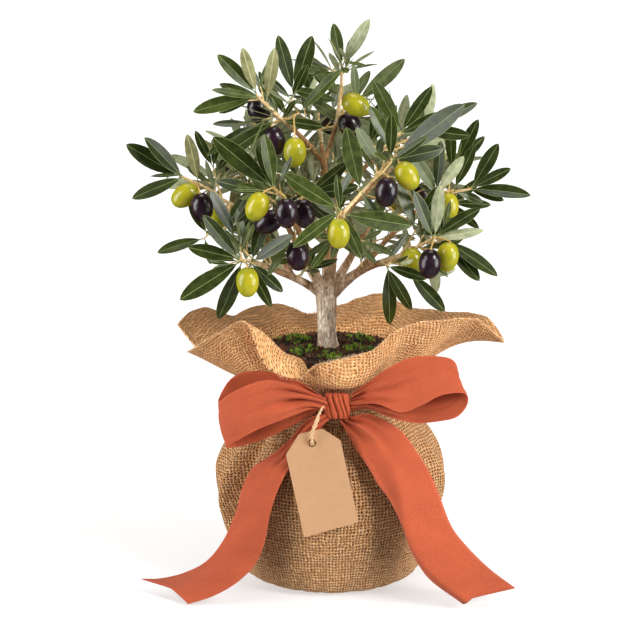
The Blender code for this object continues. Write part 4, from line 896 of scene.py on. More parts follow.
class CrownSettings(bpy.types.PropertyGroup):
    """Colours and counts of the plant."""
    bark: FloatVectorProperty(name="Bark", description="Colour of the trunk's bark",
                              default=linear("#D6BA9C"), size=3, subtype="COLOR")
    young: FloatVectorProperty(name="Young bark", description="Colour of the boughs' bark",
                               default=linear("#BC8C5A"), size=3, subtype="COLOR")
    green_olive: FloatVectorProperty(name="Green olive", description="Colour of unripe fruit",
                                     default=linear("#B0A51B"), size=3, subtype="COLOR")
    black_olive: FloatVectorProperty(name="Black olive", description="Colour of ripe fruit",
                                     default=linear("#160A11"), size=3, subtype="COLOR")
    small_sprays: IntProperty(name="Small sprays", description="Extra small sprays in each mass",
                              default=SMALL_SPRAYS, min=0, max=40)
    inner_sprays: IntProperty(name="Inner sprays", description="Small sprays along each bough",
                              default=INNER_SPRAYS, min=0, max=40)


# Materials
def feed(node, numbered=(), **named):
    """Set the inputs of a node by number or by name; sockets and nodes are linked to them."""
    for key, value in (dict(numbered) | named).items():
        socket = node.inputs[key.replace("_", " ") if isinstance(key, str) else key]
        if isinstance(value, bpy.types.Node):
            value = value.outputs[0]
        if isinstance(value, bpy.types.NodeSocket):
            node.id_data.links.new(value, socket)
        else:
            socket.default_value = value


def add_node(tree, kind, *values, at=(), stops=(), **more):
    """Node of a kind: values go to its first inputs, at to numbered ones, and stops to its ramp.

    Other names are its settings where they are in small letters, and else its inputs.
    """
    new = tree.nodes.new("ShaderNode" + kind)
    for i, (place, colour) in enumerate(stops):
        new.color_ramp.elements[i].position = place
        new.color_ramp.elements[i].color = colour
    for key in [key for key in more if key.islower()]:
        setattr(new, key, more.pop(key))
    feed(new, dict(enumerate(values)) | dict(at), **more)
    return new


def solid(colour, scale=1.0, more=0.0):
    """Colour with full alpha from a hex value or from parts, made darker or lighter."""
    parts = linear(colour) if isinstance(colour, str) else colour
    return (*(min(1.0, c * scale + more) for c in parts[:3]), 1.0)


def skin(name, roughness, colour, **more):
    """Material with a Principled surface, its shader, and the function that adds its nodes."""
    material = bpy.data.materials.new(name)
    material.use_nodes = True
    material.diffuse_color = solid(colour)
    shader = material.node_tree.nodes["Principled BSDF"]
    feed(shader, Base_Color=solid(colour), Roughness=roughness, **more)
    return material, shader, partial(add_node, material.node_tree)


def jute_burlap(settings):
    """Burlap: spun jute yarn in an open plain weave, dry, hairy and matt.

    Its gaps are dark where soil lies behind, and the gap colour runs into the low parts
    of the weave as painted shade. In the free collar the gaps are painted paler, as if light
    came through, and the yarn is painted lighter, as if more light fell there.
    """
    material, shader, add = skin("jute_burlap", 0.95, settings.yarn, Sheen_Weight=0.06)
    place = add("UVMap", uv_map="weave")
    wander = add("TexNoise", Vector=place, Scale=0.28, Detail=2.0, noise_dimensions="2D")
    place = add("VectorMath", wander.outputs["Color"], (1.2, 1.2, 0.0), place, operation="MULTIPLY_ADD")
    parts = add("SeparateXYZ", place)
    rise, body, spun, height, tones = [], [], [], [], []
    for found, squash, scale, detail in ((spun, 0.12, 1.1, 1.0), (tones, 0.3, 1.7, 3.0)):
        for stretch in ((1.0, squash, 1.0), (squash, 1.0, 1.0)):
            along = add("VectorMath", place, stretch, operation="MULTIPLY")
            found.append(add("TexNoise", Vector=along, Scale=scale, Detail=detail, noise_dimensions="2D"))
    for axis in (0, 1):
        turn = add("Math", parts.outputs[axis], math.pi, operation="MULTIPLY")
        rise.append(add("Math", turn, operation="SINE"))
        off = add("Math", parts.outputs[axis], operation="FRACT")
        off = add("Math", off, 0.5, operation="SUBTRACT")
        off = add("Math", off, operation="ABSOLUTE")
        lean = add("MapRange", spun[axis], 0.35, 0.65, 2.75, 2.05)
        off = add("Math", off, lean, operation="MULTIPLY")
        off = add("Math", off, 2.2, operation="POWER")
        body.append(add("Math", 1.0, off, operation="SUBTRACT", use_clamp=True))
    for axis in (0, 1):
        over = add("Math", rise[axis], operation="SIGN")
        over = add("Math", over, rise[1 - axis], operation="MULTIPLY")
        over = add("Math", over, 0.5 - axis, 0.5, operation="MULTIPLY_ADD")
        over = add("Math", over, 0.75, 0.25, operation="MULTIPLY_ADD")
        height.append(add("Math", body[axis], over, operation="MULTIPLY"))
    top = add("Math", height[0], height[1], operation="MAXIMUM")
    upper = add("Math", height[1], height[0], operation="GREATER_THAN")
    tone = add("Mix", upper, at={2: tones[0], 3: tones[1]})
    yarn = add("ValToRGB", tone, stops=((0.34, solid(settings.yarn_dark)), (0.66, solid(settings.yarn))))
    tall = add("SeparateXYZ", add("TexCoord").outputs["Object"]).outputs[2]
    free = add("MapRange", tall, 150 * MM, 176 * MM)
    least = add("MapRange", free, To_Min=0.20, To_Max=0.13)
    most = add("MapRange", free, To_Min=0.64, To_Max=0.48)
    # painted shade: the gap colour takes over where the yarn lies low, darkening the hollows and the yarns
    # that pass under
    cover_and_shade = add("MapRange", top, least, most, interpolation_type="SMOOTHSTEP")
    # painted light: the gaps in the free collar are made paler, as if light shone through them
    gap = add("Mix", free, at={6: solid(settings.gap), 7: solid("#704520")}, data_type="RGBA")
    # painted light: the yarn is made darker low on the sack and lighter up the collar, as if more light fell
    # there
    light = add("MapRange", free, To_Min=0.79, To_Max=1.14)
    yarn = add("VectorMath", yarn, Scale=light, operation="SCALE")
    colour = add("Mix", cover_and_shade, at={6: gap.outputs[2], 7: yarn}, data_type="RGBA")
    fluff = add("TexNoise", Vector=place, Scale=4.0, Detail=2.0, noise_dimensions="2D")
    relief = add("Math", fluff, 0.35, top, operation="MULTIPLY_ADD")
    bump = add("Bump", Height=relief, Distance=0.7 * settings.thread, Strength=0.9)
    feed(shader, Base_Color=colour.outputs[2], Normal=bump)
    return material


def jute_fibre(settings):
    """Loose jute fibre: dry and matt, slightly lighter than the yarn."""
    material, shader, add = skin("jute_fibre", 0.9, settings.yarn, Sheen_Weight=0.2)
    speck = add("TexNoise", Scale=1 / (6 * MM))
    colour = add("Mix", speck, at={6: solid("#D8AD80"), 7: solid("#F3D8B4")}, data_type="RGBA")
    feed(shader, Base_Color=colour.outputs[2])
    return material


def cotton_twill(settings):
    """Dyed cotton twill ribbon: fine slanting ribs, a stitched edge, matt with a faint sheen.

    The ribs are 0.35 mm apart on the real cloth and are drawn 1.1 mm apart, so that they show.
    """
    base = settings.ribbon
    half = settings.ribbon_wide / MM / 2
    material, shader, add = skin("cotton_twill", 0.82, base, Sheen_Weight=0.05, Sheen_Roughness=0.5)
    place = add("UVMap", uv_map="weave")
    parts = add("SeparateXYZ", place)
    slant = add("Math", parts.outputs[0], parts.outputs[1], operation="ADD")
    ribs = add("Math", slant, 2 * math.pi / 1.1, operation="MULTIPLY")
    ribs = add("Math", ribs, operation="SINE")
    grain = add("TexNoise", Vector=place, Scale=0.9, Detail=4.0, Roughness=0.7, noise_dimensions="2D")
    cloud = add("TexNoise", Vector=place, Scale=0.05, Detail=2.0, noise_dimensions="2D")
    tone = add("Math", cloud, 0.3, 0.17, operation="MULTIPLY_ADD")
    tone = add("Math", grain, 0.9, tone, operation="MULTIPLY_ADD")
    tone = add("Math", ribs, 0.14, tone, operation="MULTIPLY_ADD")
    ramp = add("ValToRGB", tone, stops=((0.45, solid(base, 0.70)), (1.0, solid(base, 1.28, 0.016))))
    edge = add("Math", parts.outputs[0], half, operation="SUBTRACT")
    edge = add("Math", edge, operation="ABSOLUTE")
    edge = add("Math", half, edge, operation="SUBTRACT")
    near = add("MapRange", edge, 0.5, 1.4, 1.0, 0.0)
    stitch = add("Math", parts.outputs[1], 2 * math.pi / 1.8, operation="MULTIPLY")
    stitch = add("Math", stitch, operation="SINE")
    stitch = add("MapRange", stitch, -0.2, 0.5)
    mark = add("Math", near, stitch, operation="MULTIPLY")
    mark = add("Math", mark, 0.7, operation="MULTIPLY")
    colour = add("Mix", mark, at={6: ramp, 7: solid(base, 1.6, 0.03)}, data_type="RGBA")
    relief = add("Math", ribs, 0.35, grain, operation="MULTIPLY_ADD")
    relief = add("Math", mark, -1.2, relief, operation="MULTIPLY_ADD")
    bump = add("Bump", Height=relief, Distance=0.26 * MM, Strength=0.9)
    feed(shader, Base_Color=colour.outputs[2], Normal=bump)
    return material


def kraft_card(settings):
    """Kraft card: pressed brown pulp with faint darker fibres, smooth and dull."""
    card = settings.card
    material, shader, add = skin("kraft_card", 0.72, card)
    place = add("TexCoord").outputs["Object"]
    pulp = add("TexNoise", Vector=place, Scale=1 / (5 * MM), Detail=5.0, Roughness=0.65)
    strands = add("TexNoise", Vector=place, Scale=1 / (1.1 * MM), Detail=2.0, Distortion=2.5)
    tone = add("Math", strands, 0.35, pulp, operation="MULTIPLY_ADD")
    ramp = add("ValToRGB", tone, stops=((0.42, solid(card, 0.94)), (0.92, solid(card, 1.07))))
    bump = add("Bump", Height=tone, Distance=0.03 * MM, Strength=0.4)
    feed(shader, Base_Color=ramp, Normal=bump)
    return material


def cotton_twine(settings):
    """Plied cotton twine: soft pale strands with fine fibres, matt."""
    twine = settings.twine
    material, shader, add = skin("cotton_twine", 0.85, twine, Sheen_Weight=0.25)
    place = add("TexCoord").outputs["Object"]
    fluff = add("TexNoise", Vector=place, Scale=1 / (0.7 * MM), Detail=3.0)
    ramp = add("ValToRGB", fluff, stops=((0.3, solid(twine, 0.72)), (0.7, solid(twine, 1.1))))
    bump = add("Bump", Height=fluff, Distance=0.15 * MM, Strength=0.7)
    feed(shader, Base_Color=ramp, Normal=bump)
    return material


def olive_bark(settings):
    """Olive bark: grey-beige and finely cracked on the trunk, browner and smoother on the boughs."""
    young = settings.young
    material, shader, add = skin("olive_bark", 0.88, settings.bark)
    place = add("TexCoord").outputs["Object"]
    height = add("SeparateXYZ", place).outputs[2]
    age = add("MapRange", height, 222 * MM, 268 * MM, interpolation_type="SMOOTHSTEP")
    tall = add("VectorMath", place, (1.0, 1.0, 0.32), operation="MULTIPLY")
    broad = add("TexNoise", Vector=tall, Scale=1 / (7 * MM), Detail=4.0, Roughness=0.6)
    fine = add("TexNoise", Vector=tall, Scale=1 / (1.4 * MM), Detail=3.0, Roughness=0.65)
    cracks = add("TexVoronoi", Vector=tall, Scale=1 / (2.6 * MM), Randomness=1.0, feature="DISTANCE_TO_EDGE")
    split = add("MapRange", cracks, 0.0, 0.12, 0.55, 0.0)
    old = add("ValToRGB", broad, stops=((0.34, solid("#9C7B5A")), (0.66, solid("#FFF0DA"))))
    new = add("ValToRGB", broad, stops=((0.34, solid(young, 0.62)), (0.66, solid(young, 1.35))))
    both = add("Mix", age, at={6: old, 7: new}, data_type="RGBA")
    # painted shade: the cracks that the bump sinks are darkened
    crack_shade = add("Mix", split, at={6: both.outputs[2], 7: solid("#6E543C")}, data_type="RGBA")
    grit = add("MapRange", fine, 0.3, 0.7, 0.56, 1.3)
    shade = add("VectorMath", crack_shade.outputs[2], Scale=grit, operation="SCALE")
    relief = add("Math", split, -0.8, fine, operation="MULTIPLY_ADD")
    bump = add("Bump", Height=relief, Distance=0.35 * MM, Strength=0.9)
    feed(shader, Base_Color=shade, Normal=bump)
    return material


def mottled(name, low, high, roughness, size, relief=0.1, **more):
    """Surface whose colour drifts between two close shades over a size in millimetres."""
    material, shader, add = skin(name, roughness, high, **more)
    place = add("TexCoord").outputs["Object"]
    drift = add("TexNoise", Vector=place, Scale=1 / (size * MM), Detail=3.0)
    ramp = add("ValToRGB", drift, stops=((0.35, solid(low)), (0.65, solid(high))))
    feed(shader, Base_Color=ramp)
    if relief:
        bump = add("Bump", Height=drift, Distance=relief * MM, Strength=0.6)
        feed(shader, Normal=bump)
    return material


def olive_skin(name, colour, other, speck):
    """Olive fruit: taut waxed skin, glossy, with drifting colour and fine pale pores."""
    material, shader, add = skin(name, 0.34, colour, Coat_Weight=0.5, Coat_Roughness=0.08,
                                 Specular_IOR_Level=0.3)
    place = add("TexCoord").outputs["Object"]
    drift = add("TexNoise", Vector=place, Scale=1 / (11 * MM), Detail=2.0)
    pores = add("TexVoronoi", Vector=place, Scale=1 / (1.5 * MM))
    dots = add("MapRange", pores, 0.10, 0.20, 0.5, 0.0)
    mix = add("MapRange", drift, 0.38, 0.66)
    base = add("Mix", mix, at={6: solid(colour), 7: solid(other)}, data_type="RGBA")
    dotted = add("Mix", dots, at={6: base.outputs[2], 7: solid(speck)}, data_type="RGBA")
    feed(shader, Base_Color=dotted.outputs[2])
    return material


def leaf_skins():
    """Olive leaves: waxed grey-green above, felted silver-green below, paler rib and edge."""
    gloss = {"Coat_Weight": 0.13, "Coat_Roughness": 0.24, "Specular_IOR_Level": 0.36}
    return [
        mottled("leaf_upper_deep", "#222B09", "#354111", 0.36, 6, 0.08, **gloss),
        mottled("leaf_upper_mid", "#303B0F", "#48541E", 0.36, 6, 0.08, **gloss),
        # grey-green that is partly the leaf's own colour and partly painted sheen
        mottled("leaf_upper_grey_and_sheen", "#48522E", "#626B40", 0.42, 6, 0.08, **gloss),
        mottled("leaf_upper_fresh", "#4A551C", "#666F32", 0.38, 6, 0.08, **gloss),
        mottled("leaf_under_silver", "#8F9670", "#B3B792", 0.72, 5, 0.05),
        mottled("leaf_under_olive", "#79784A", "#989665", 0.66, 5, 0.05),
        mottled("leaf_rib_upper", "#6C7A42", "#868F5C", 0.5, 8, 0.0),
        mottled("leaf_rib_under", "#B2B481", "#C9C99C", 0.6, 8, 0.0),
        mottled("leaf_edge", "#7C8749", "#98A163", 0.5, 8, 0.0),
    ]


# Meshes
def piece(name, verts, faces, skins, picks=None, uvs=None, sharp=40.0):
    """Mesh piece in metres that rides on the plant's body."""
    mesh = bpy.data.meshes.new(name)
    mesh.from_pydata([(v[0] * MM, v[1] * MM, v[2] * MM) for v in verts], [], faces)
    if uvs is not None:
        layer = mesh.uv_layers.new(name="weave")
        layer.data.foreach_set("uv", np.array(uvs, np.float32).ravel())
    for one in skins:
        mesh.materials.append(one)
    if picks is not None:
        mesh.polygons.foreach_set("material_index", np.array(picks, np.int32))
    mesh.update()
    mesh.shade_smooth()
    mesh.set_sharp_from_angle(angle=math.radians(sharp))
    body = bpy.data.objects.new(name, mesh)
    bpy.context.scene.collection.objects.link(body)
    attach(body, BODY)
    return body


class Heap:
    """Many small shapes that become one mesh."""

    def __init__(self):
        self.verts, self.faces, self.picks = [], [], []

    def put(self, verts, faces, pick=0):
        start = len(self.verts)
        self.verts.extend(verts)
        self.faces.extend(tuple(i + start for i in f) for f in faces)
        self.picks.extend(pick if isinstance(pick, list) else [pick] * len(faces))

    def piece(self, name, skins, slot, sharp=40.0):
        return piece(name, self.verts, self.faces, skins, self.picks, sharp=sharp)


def applied(body):
    """Put the result of a piece's modifiers into its mesh."""
    graph = bpy.context.evaluated_depsgraph_get()
    mesh = bpy.data.meshes.new_from_object(body.evaluated_get(graph))
    body.modifiers.clear()
    body.data = mesh


def thick(body, depth, offset):
    """Give a sheet its thickness."""
    step = body.modifiers.new("thickness", "SOLIDIFY")
    step.thickness = depth * MM
    step.offset = offset
    step.use_even_offset = False
    applied(body)


def sheet_faces(rows, columns, uv, closed):
    """Faces and their UVs for rows of points; uv gives the place of a row and a column."""
    uvs = []
    for i in range(rows - 1):
        for k in range(columns if closed else columns - 1):
            uvs += [uv(i, k), uv(i, k + 1), uv(i + 1, k + 1), uv(i + 1, k)]
    return quads(rows, columns, 0, closed), uvs


def lengths_along(points):
    """Length from the first of a row of points to each of them."""
    out = [0.0]
    for a, b in zip(points, points[1:]):
        out.append(out[-1] + (b - a).length)
    return out


# Sack
def smooth_profile(z):
    """Radius of the sack at a height, rounded between the named rings."""
    rows = SACK_PROFILE
    i = max(k for k in range(len(rows) - 1) if rows[k][0] <= z or k == 0)
    (z0, r0), (z1, r1) = rows[i:i + 2]

    def slope(k):
        a, b = rows[max(k - 1, 0)], rows[min(k + 1, len(rows) - 1)]
        return (b[1] - a[1]) / (b[0] - a[0]) * (z1 - z0)

    return eased(r0, r1, slope(i), slope(i + 1), (z - z0) / (z1 - z0))


def smooth_share(rows, share):
    """Values of a table at a share of its first column, eased between its rows."""
    i = max(k for k in range(len(rows) - 1) if rows[k][0] <= share)
    near = [rows[min(max(k, 0), len(rows) - 1)] for k in range(i - 1, i + 3)]
    return spline(*[Vector(row[1:]) for row in near], (share - rows[i][0]) / (rows[i + 1][0] - rows[i][0]))


def crease(turn, depth, width):
    """Inward push of a fold with a soft ridge on each side; turn is the distance from it."""
    d = short_way(turn) / width
    return depth * (math.exp(-d * d) - 0.45 * (hump(d - 1.8, 0.8) + hump(d + 1.8, 0.8)))


def sack_side(angle, z):
    """Radius of the dressed sack at a bearing and height."""
    c, s = math.cos(angle), math.sin(angle)
    turn = math.degrees(angle)
    rise = limited((z - 86.0) / 55.0)
    calm = limited((150.0 - z) / 10.0)
    fold = 0.9 * rise * rise * math.cos(37 * angle + 2.2 * math.sin(5 * angle) + 0.02 * z) * calm
    foot = max(0.0, 1.0 - z / 26.0)
    pucker = -1.5 * foot * max(0.0, math.cos(19 * angle + math.sin(7 * angle))) ** 2
    broad = 1.5 * rough(70 * c, 70 * s, z, 42.0) * min(1.0, z / 30.0) * calm
    small = 0.5 * rough(80 * c, 80 * s, 0.6 * z, 13.0) * calm
    deep = 0.0
    for top, low, floor, depth, width in SACK_CREASES:
        share = limited((z - floor) / (CREASE_TOP - floor))
        at = low + (top - low) * share
        deep += crease(turn - at, depth * math.sin(math.pi * share ** 0.8) ** 0.8, width)
    seam = max(0.0, 1.0 - abs(z - SIDE_FOLD_HEIGHT) / 48.0)
    at = turn - SIDE_FOLD_ANGLE - 0.06 * (z - 40.0)
    deep -= 3.0 * seam * hump(at - 6.0, 2.0)
    deep -= 2.4 * seam * hump(at + 6.0, 2.0)
    return smooth_profile(z) - gathers(angle, z) - deep + fold + pucker + broad + small


def collar_side(angle, t):
    """Point of the dressed collar at a bearing and a share of its height."""
    p = collar_point(angle, t, 0.3)
    c, s = math.cos(angle), math.sin(angle)
    turn = math.degrees(angle)
    radius, height = math.hypot(p.x, p.y), p.z
    r1, z1 = rim(angle)
    front = hump(short_way(turn - FRONT_BULGE), FRONT_WIDTH)
    notch = hump(short_way(turn - NOTCH), NOTCH_WIDTH)
    for profile, near, high in ((FRONT_PROFILE, front, t * t), (NOTCH_PROFILE, notch, t ** 3)):
        r, z = smooth_share(profile, t)
        radius += near * (r + (r1 - profile[-1][1]) * high - radius)
        height += near * (z + (z1 - profile[-1][2]) * high - height)
    out = 1.3 * rough(60 * c, 60 * s, 50 * t, 20.0)
    out += 0.6 * math.cos(29 * angle + 3 * math.sin(4 * angle)) * (1.0 - front)
    out *= min(1.0, t * 2.2) * (1.0 - 0.35 * t)
    strong = math.sin(math.pi * min(1.0, 0.08 + 0.95 * t)) ** 0.7
    for neck, hem, depth, width in COLLAR_CREASES:
        out -= crease(turn - neck - (hem - neck) * t, depth * strong, width)
    lift = 0.9 * rough(95 * c, 95 * s, 7.0, 9.0) * t * t
    bend = limited((t - 0.74) / 0.26)
    for at, width, roll in LIP_ROLLS:
        near = hump(short_way(turn - at), width)
        out += roll * near * bend * bend * (1.6 - 0.6 * bend)
        lift -= 0.55 * roll * near * bend ** 3
    return polar(radius + out, angle, height + lift)


def sack_cloth():
    """Rows of points of the whole cloth, from the middle of the underside to the hem."""
    turns = [math.pi / 2 + a for a in around(CLOTH_COLUMNS)]
    neck, base = SACK_PROFILE[-1][0], SACK_PROFILE[0][1]
    rows = [[polar(r, a, 0) for a in turns] for r in (2, 14, 28, 42, 54, base - 3)]
    steps = round(neck / CLOTH_STEP * 1.25)
    for i in range(steps + 1):
        z = neck * (i / steps) ** 1.15
        rows.append([polar(sack_side(a, z), a, z) for a in turns])
    count = round(COLLAR_LENGTH / CLOTH_STEP * 1.3)
    return rows + [[collar_side(a, i / count) for a in turns] for i in range(1, count + 1)]


def burlap_sack(settings):
    """One cloth from the underside, through the tie, to the frayed hem."""
    rows = sack_cloth()
    n = CLOTH_COLUMNS
    threads = 2 * math.pi * WIDEST / (settings.thread / MM) // 2 * 2
    down = [lengths_along([row[k] for row in rows]) for k in range(n)]
    runs = [lengths_along(row + row[:1]) for row in rows]
    waist = max(run[-1] for run, row in zip(runs, rows) if row[0].z < COLLAR_FOOT[0])

    def uv(i, k):
        run = runs[i]
        spread = max(1.0, run[-1] / waist)
        near = sum(down[(k + step) % n][i] for step in range(-5, 6)) / 11
        return (run[k] - run[n // 2]) / run[-1] * threads * spread, near * MM / settings.thread

    faces, uvs = sheet_faces(len(rows), n, uv, True)
    for k in range(n):
        faces.append((len(rows) * n, (k + 1) % n, k))
        uvs += [(k * threads / n, 0.0), ((k + 1) * threads / n, 0.7), (k * threads / n, 0.7)]
    verts = [p for row in rows for p in row] + [Vector()]
    body = piece("burlap_sack", verts, faces, [jute_burlap(settings)], uvs=uvs, sharp=80.0)
    thick(body, CLOTH_LOOKS, -1.0)
    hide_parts("sack_body", "sack_collar")
    return body, rows


def fibre(root, way, length, width, rng):
    """Thin bent fibre."""
    bend = any_way(rng) * length * 0.3
    path = [root, root + way * length * 0.55 + bend * 0.4, root + way * length + bend]
    return tube(path, [width, width * 0.8, width * 0.3], 3)


def hem_fibres(settings, cloth, rows):
    """Loose fibres at the hem and a few that lie on the cloth; the cloth argument is not used."""
    rng = random.Random(SEED)
    heap = Heap()
    hem, below = rows[-1], rows[-3]
    n = len(hem)
    longest = settings.hem_fibre / MM
    for _ in range(HEM_FIBRES):
        k = rng.randrange(n)
        root = hem[k].lerp(hem[(k + 1) % n], rng.random())
        out = (hem[k] - below[k]).normalized()
        side = (hem[(k + 1) % n] - hem[k]).normalized()
        way = (out + side * rng.uniform(-0.9, 0.9) + UP * rng.uniform(-0.4, 0.5)).normalized()
        heap.put(*fibre(root - out * 0.5, way, longest * rng.uniform(0.25, 1.0), HEM_FIBRE_RADIUS, rng))
    first = len(rows) // 4
    for _ in range(LOOSE_FIBRES):
        i = rng.randrange(first, len(rows) - 4)
        p = rows[i][rng.randrange(n)]
        out = Vector((p.x, p.y, 0)).normalized()
        side = Vector((-out.y, out.x, 0))
        way = (side * rng.uniform(-1, 1) + UP * rng.uniform(-1, 1) + out * 0.2).normalized()
        length = rng.uniform(*LOOSE_FIBRE_LENGTHS)
        heap.put(*fibre(p + out * 0.15, way, length, LOOSE_FIBRE_RADIUS, rng))
    fibres = heap.piece("burlap_fibres", [jute_fibre(settings)], "burlap")


# Soil and moss
def soil_top(x, y):
    """Height of the soil at a place."""
    r = math.hypot(x, y)
    return SOIL_TOP - 2.2 * (r / SOIL_RADIUS) ** 2 + 0.9 * rough(x, y, 0.0, 9.0) + 0.5 * rough(x, y, 5.0, 3.0)


def off_trunk(x, y):
    """Distance of a place on the soil from the trunk's skin."""
    return math.hypot(x - TRUNK[0][0], y - TRUNK[0][1]) - TRUNK[0][3]


def soil_body():
    """Root ball that fills the sack, with a crumbly top."""
    turns = around(SOIL_COLUMNS)

    def room(z):
        return min(math.hypot(*sack_point(a, z, CLOTH + GAP + 1.5).xy) for a in around(90))

    rings = [(2.2, 0.5), (2.2, 30.0), (2.4, room(2.4) - 5.0)]
    rings += [(z, room(z) - FOLD_ROOM) for z in (22, 64, 84, 118, 134)] + [(156, room(156))]
    rows = [[polar(r, a, z) for a in turns] for z, r in rings]
    for z in (160, 165, 170, 175, 180):
        rows.append([polar(SOIL_RADIUS + 1.2 * rough(54 * math.cos(a), 54 * math.sin(a), z, 6.0), a, z)
                     for a in turns])
    for r in [SOIL_RADIUS - 0.6] + [SOIL_RADIUS - 2.0 - 1.6 * k for k in range(32)]:
        rows.append([polar(r, a, soil_top(r * math.cos(a), r * math.sin(a))) for a in turns])
    faces = quads(len(rows), SOIL_COLUMNS) + caps(len(rows), SOIL_COLUMNS)
    # Potting soil: damp peat and bark fines, crumbly and almost black
    skins = [mottled("potting_soil", "#22120A", "#583823", 0.95, 2.2, 0.8)]
    body = piece("potting_soil_ball", [p for row in rows for p in row], faces, skins, sharp=70.0)
    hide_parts("root_ball")


def chunk(centre, size, stretch, rng):
    """Small rough lump, longer one way."""
    turn = Matrix.Rotation(rng.uniform(0, 6.28), 3, Vector((rng.random(), rng.random(), rng.random() + 0.1)))
    verts = []
    for p in CHUNK:
        v = Vector(p) * rng.uniform(0.75, 1.2)
        v.x *= stretch
        verts.append(centre + turn @ v * size)
    return verts, CHUNK_FACES


def soil_crumbs():
    """Crumbs of peat, bark bits and a few pale grains on the soil."""
    rng = random.Random(SEED + 1)
    heap = Heap()
    for _ in range(SOIL_CRUMBS):
        r = SOIL_RADIUS * math.sqrt(rng.random()) - 0.5
        a = rng.uniform(0, 2 * math.pi)
        x, y = r * math.cos(a), r * math.sin(a)
        if off_trunk(x, y) < 0:
            continue
        kind = rng.choices((0, 1, 2, 3), (50, 30, 14, 4))[0]
        size = rng.uniform(0.6, 1.7) * (1.0, 1.0, 0.9, 0.6)[kind]
        stretch = (1.0, 1.3, 2.0, 1.0)[kind]
        heap.put(*chunk(Vector((x, y, soil_top(x, y) + 0.3 * size)), size, stretch, rng), kind)
    # Peat, composted bark and grit: rough and matt, dark brown with a few reddish and pale bits
    skins = [mottled("peat_crumb", "#17100A", "#38271A", 0.95, 1.0, 0.2),
             mottled("bark_fines", "#3A2415", "#5E4028", 0.9, 1.0, 0.2),
             mottled("red_bark_bit", "#5A2A17", "#7E4327", 0.85, 1.0, 0.2),
             mottled("pale_grain", "#A38C72", "#C9B79D", 0.85, 1.0, 0.1)]
    heap.piece("soil_crumbs", skins, "soil", 20.0)


def sprig(root, way, length, rng):
    """Moss sprig: a short stem with small pointed leaflets."""
    verts, faces = tube([root, root + way * length], [0.28, 0.15], 3)
    side = across(way, Vector((rng.uniform(-1, 1), rng.uniform(-1, 1), 0.3)))
    for step in range(5):
        spot = root + way * length * (0.25 + 0.18 * step)
        out = Matrix.Rotation(step * 2.4 + rng.random(), 3, way) @ side
        tip = spot + (out * 0.8 + way * 0.6) * rng.uniform(1.0, 1.7)
        wide = way.cross(out) * 0.42
        middle = spot.lerp(tip, 0.5)
        n = len(verts)
        verts += [spot, middle + wide, tip, middle - wide, middle + way * 0.25]
        faces += [(n, n + 1, n + 4), (n + 1, n + 2, n + 4), (n + 2, n + 3, n + 4), (n + 3, n, n + 4),
                  (n, n + 3, n + 2, n + 1)]
    return verts, faces


def moss():
    """Cushions of moss sprigs in bright, dark and rusty tufts."""
    rng = random.Random(SEED + 2)
    heap = Heap()
    for x, y, wide, high in MOSS:
        for _ in range(MOSS_SPRIGS):
            r = wide * 1.05 * math.sqrt(rng.random())
            a = rng.uniform(0, 2 * math.pi)
            px, py = x + r * math.cos(a), y + r * math.sin(a)
            bare = rough(px, py, 31.0, 8.0) - 0.5 * max(0.0, r / wide - 0.5)
            if bare < -0.16 or off_trunk(px, py) < -0.5:
                continue
            up = high * 0.6 * max(0.0, 1.0 - (r / wide) ** 2)
            way = Vector((rng.uniform(-0.6, 0.6), rng.uniform(-0.6, 0.6), 1)).normalized()
            tuft = rough(px, py, 11.0, 6.0) + rng.uniform(-0.35, 0.35)
            pick = 0 if tuft > 0.18 else 1 if tuft > -0.12 else 2 if tuft > -0.34 else 3
            root = Vector((px, py, soil_top(px, py) + up - 0.3))
            heap.put(*sprig(root, way, rng.uniform(1.6, 3.0), rng), pick)
    # Cushion moss: soft leaflets, bright where fresh, dark in the shade and rusty where dry
    skins = [mottled("moss_bright", "#7C9C1C", "#A6C234", 0.6, 1.5, 0.0),
             mottled("moss_green", "#3E6A18", "#5C8A26", 0.65, 1.5, 0.0),
             mottled("moss_dark", "#22380F", "#38531B", 0.7, 1.5, 0.0),
             mottled("moss_rusty", "#5C2C18", "#8A4A2A", 0.7, 1.5, 0.0)]
    body = heap.piece("moss_tufts", skins, "moss", 30.0)
    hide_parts(*[f"moss_{i + 1}" for i in range(len(MOSS))])


# Ribbon
def bowed(stations, bow):
    """Two-edge stations given a middle point that bows outwards."""
    out = []
    firsts = [Vector(a) for a, _ in stations]
    for i, (a, b) in enumerate(stations):
        a, b = Vector(a), Vector(b)
        out.append((a, (a + b) / 2 + ahead_at(firsts, i).cross(b - a).normalized() * bow, b))
    return out


